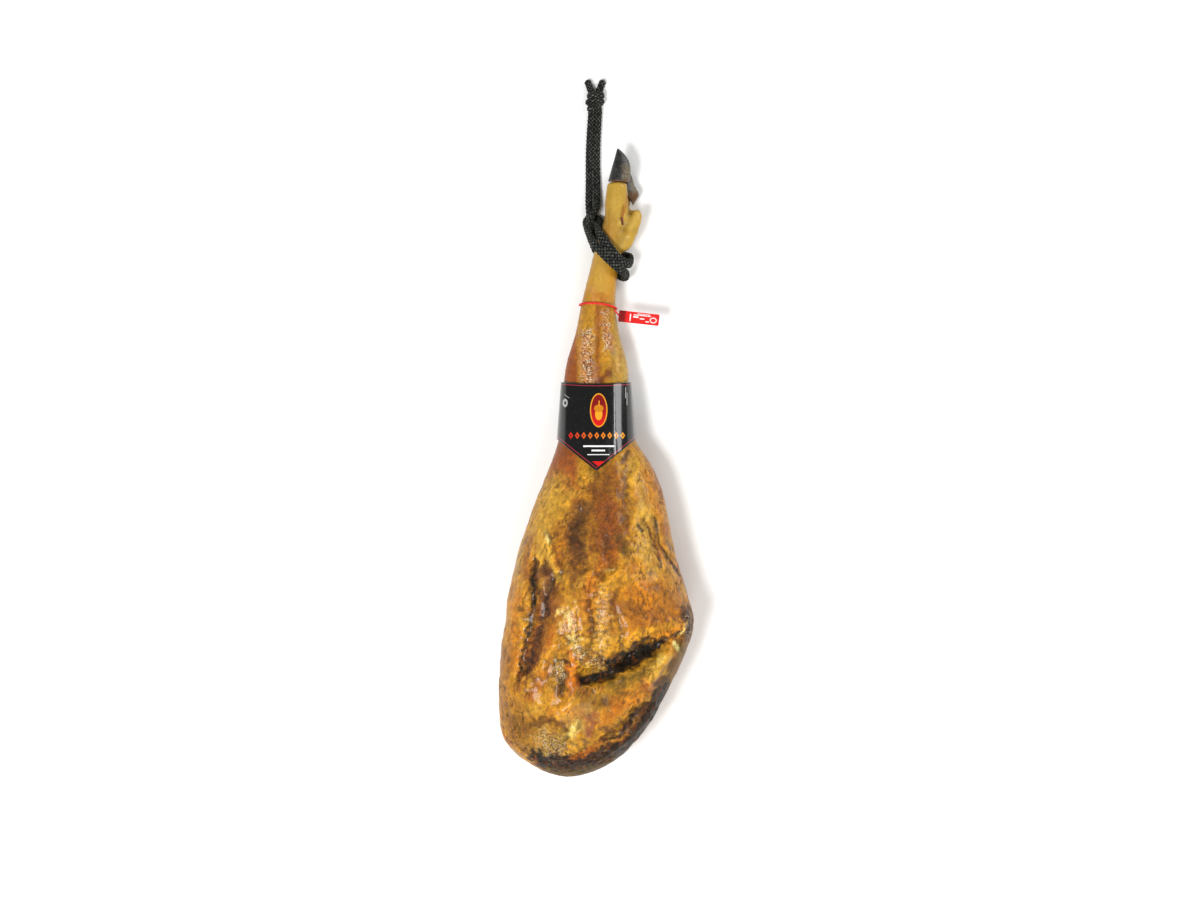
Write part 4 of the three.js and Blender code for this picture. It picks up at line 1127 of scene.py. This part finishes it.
def plasticMaterial(name, colour, printed=False):
    made, tree, shader = newMaterial(name, rough=0.34, specular=0.3, subsurface=0.0)
    where = objectPlace(tree)
    mottle = noise(where, 300, 3.0, 0.6)
    base = mix(fit(mottle, 0.35, 0.7, 0, 0.3), colour, "darkRed")
    if printed:
        low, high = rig.box("seal_tag")
        middle = (low + high) / 2
        turn = (0, 0, -radians(tag["droop"]))
        local = addNode("Mapping", {"Vector": where, "Location": middle, "Rotation": turn,
                                    "Scale": (mm, mm, mm)}, vector_type="TEXTURE")
        axes = addNode("SeparateXYZ", {"Vector": local.outputs["Vector"]})
        x, y = axes.outputs["X"], axes.outputs["Y"]
        base = mix(within(x, *tag["shade"]), base, "darkRed")
        for at, half in tag["bars"]:
            worn = times(box(x, y, at, half), fit(mottle, 0.3, 0.45, 0.4, 1))
            base = mix(worn, base, "white")
        outer, inner = (oval(x, y, tag["ringAt"], size, 0.2) for size in tag["ring"])
        ringShape = minus(outer, inner, True)
        base = mix(times(ringShape, 0.9), base, "white")
    link(shader, "Base Color", base)
    bump(shader, noise(where, 900, 2.0), 0.0002, 0.4)
    return made


tag = {"length": 52, "width": 14.6, "thick": 1.4, "corner": 1.6, "head": 9, "headThick": 4, "droop": 6.5,
       "ribs": 4, "ribGap": 1.7, "curl": 0.0016, "sink": 0.4, "dip": 1.1, "edge": 0.18,
       "ringAt": (18.5, -1), "ring": ((4.4, 3.6), (3.3, 2.5)), "shade": (-22, 4.5, 3),
       "bars": [((-11, -0.5), (0.7, 4.6)), ((4, 3.6), (11, 0.5)), ((6, 5.3), (8, 0.4)),
                ((-4, 1), (3.4, 0.9)), ((4, -0.6), (3, 0.7)), ((11, -3.6), (2.2, 0.6))]}
bevelKind = {"profile": 0.5, "affect": "EDGES", "material": -1}


def tagMesh():
    low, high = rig.box("seal_tag")
    middle = (low + high) / 2 / mm
    bm = bmesh.new()

    def slab(long, wide, thick, x, corner, segments):
        made = bmesh.ops.create_cube(bm, size=1)["verts"]
        bmesh.ops.scale(bm, vec=(long, wide, thick), verts=made)
        bmesh.ops.translate(bm, vec=(x, 0, 0), verts=made)
        edges = dict.fromkeys(edge for vert in made for edge in vert.link_edges)
        upright = [e for e in edges if abs(e.verts[0].co.z - e.verts[1].co.z) > thick / 2]
        bmesh.ops.bevel(bm, geom=upright, offset=corner, segments=segments, **bevelKind)

    end = -tag["length"] / 2
    slab(tag["length"], tag["width"], tag["thick"], 0, tag["corner"], 5)
    slab(tag["head"], tag["width"] - 3, tag["headThick"], end + tag["head"] / 2, 1.2, 4)
    for i in range(tag["ribs"]):
        slab(0.7, tag["width"] - 5.5, tag["headThick"] + 0.5, end + 2 + tag["ribGap"] * i, 0.2, 2)
    slab(8, 2.4, 1.5, end - 2.6, 0.4, 2)  # the strap's end in the lock
    sharp = [e for e in bm.edges if e.calc_face_angle(0) > 1]
    bmesh.ops.bevel(bm, geom=sharp, offset=tag["edge"], segments=2, **bevelKind)
    longEdges = [e for e in bm.edges if e.calc_length() > 12]
    bmesh.ops.subdivide_edges(bm, edges=longEdges, cuts=6, use_grid_fill=True)
    for vert in bm.verts:  # the strap's end dips and the plate curls a little
        vert.co.z += tag["curl"] * vert.co.x * vert.co.x - tag["sink"]
        if vert.co.x < end:
            vert.co.y += tag["dip"] * (end - vert.co.x)
    turn = Matrix.Rotation(radians(-tag["droop"]), 3, "Z")
    bmesh.ops.rotate(bm, cent=(0, 0, 0), matrix=turn, verts=bm.verts)
    bmesh.ops.translate(bm, vec=middle, verts=bm.verts)
    bmesh.ops.scale(bm, vec=(mm, mm, mm), verts=bm.verts)
    return toMesh("seal_tag_plate", bm, smooth=False)


strapPlastic = plasticMaterial("sealStrap", "tagRed")
asPiece("seal_strap_ribbed", strapMesh(), strapPlastic, "seal_plastic", "seal_strap")
tagPlastic = plasticMaterial("sealTag", "tagRed", True)
asPiece("seal_tag_plate", tagMesh(), tagPlastic, "seal_plastic", "seal_tag")
print("seal")

# floor, lights and world, in metres and watts
floor = {"size": 12, "grain": 3, "tone": 0.03}
floorBm = bmesh.new()
bmesh.ops.create_grid(floorBm, x_segments=1, y_segments=1, size=floor["size"])
floorPiece = addObject("floor", toMesh("floor", floorBm))
floorMade, floorTree, floorShader = newMaterial("paleFloor", rough=0.9)
floorTone = fit(noise(objectPlace(floorTree), floor["grain"], 2.0), 0, 1, 0, floor["tone"])
link(floorShader, "Base Color", mix(floorTone, "floor", "sand"))
floorPiece.data.materials.append(floorMade)
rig.stage(floorPiece)

studio = {"aim": (0, 0.2, 0), "world": 0.3}
lights = [
    {"at": (-1, -0.5, 2.6), "size": (0.8, 0.8), "power": 74},
    {"at": (2.3, 1.75, 1.5), "size": (1.3, 1.3), "power": 40},
    {"at": (1.5, 1.8, 2), "size": (0.14, 1.3), "power": 12},
    {"at": (0.2, -2, 2), "size": (1.2, 1.2), "power": 26},
]
for number, light in enumerate(lights):
    lamp = addObject(f"light{number}", bpy.data.lights.new(f"light{number}", "AREA"))
    lamp.data.shape = "RECTANGLE"
    lamp.data.size, lamp.data.size_y = light["size"]
    lamp.data.energy = light["power"]
    lamp.location = light["at"]
    lamp.rotation_mode = "QUATERNION"
    lamp.rotation_quaternion = (Vector(studio["aim"]) - Vector(light["at"])).to_track_quat("-Z", "Y")
world = bpy.data.worlds.new("studio")
scene.world = world
world.use_nodes = True
sky = world.node_tree.nodes["Background"]
sky.inputs["Color"].default_value = (1, 1, 1, 1)
sky.inputs["Strength"].default_value = studio["world"]

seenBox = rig.bounds()
with open("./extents.json", "w") as out:
    json.dump({"cad": [list(corner) for corner in cadBox], "seen": [list(corner) for corner in seenBox]}, out)
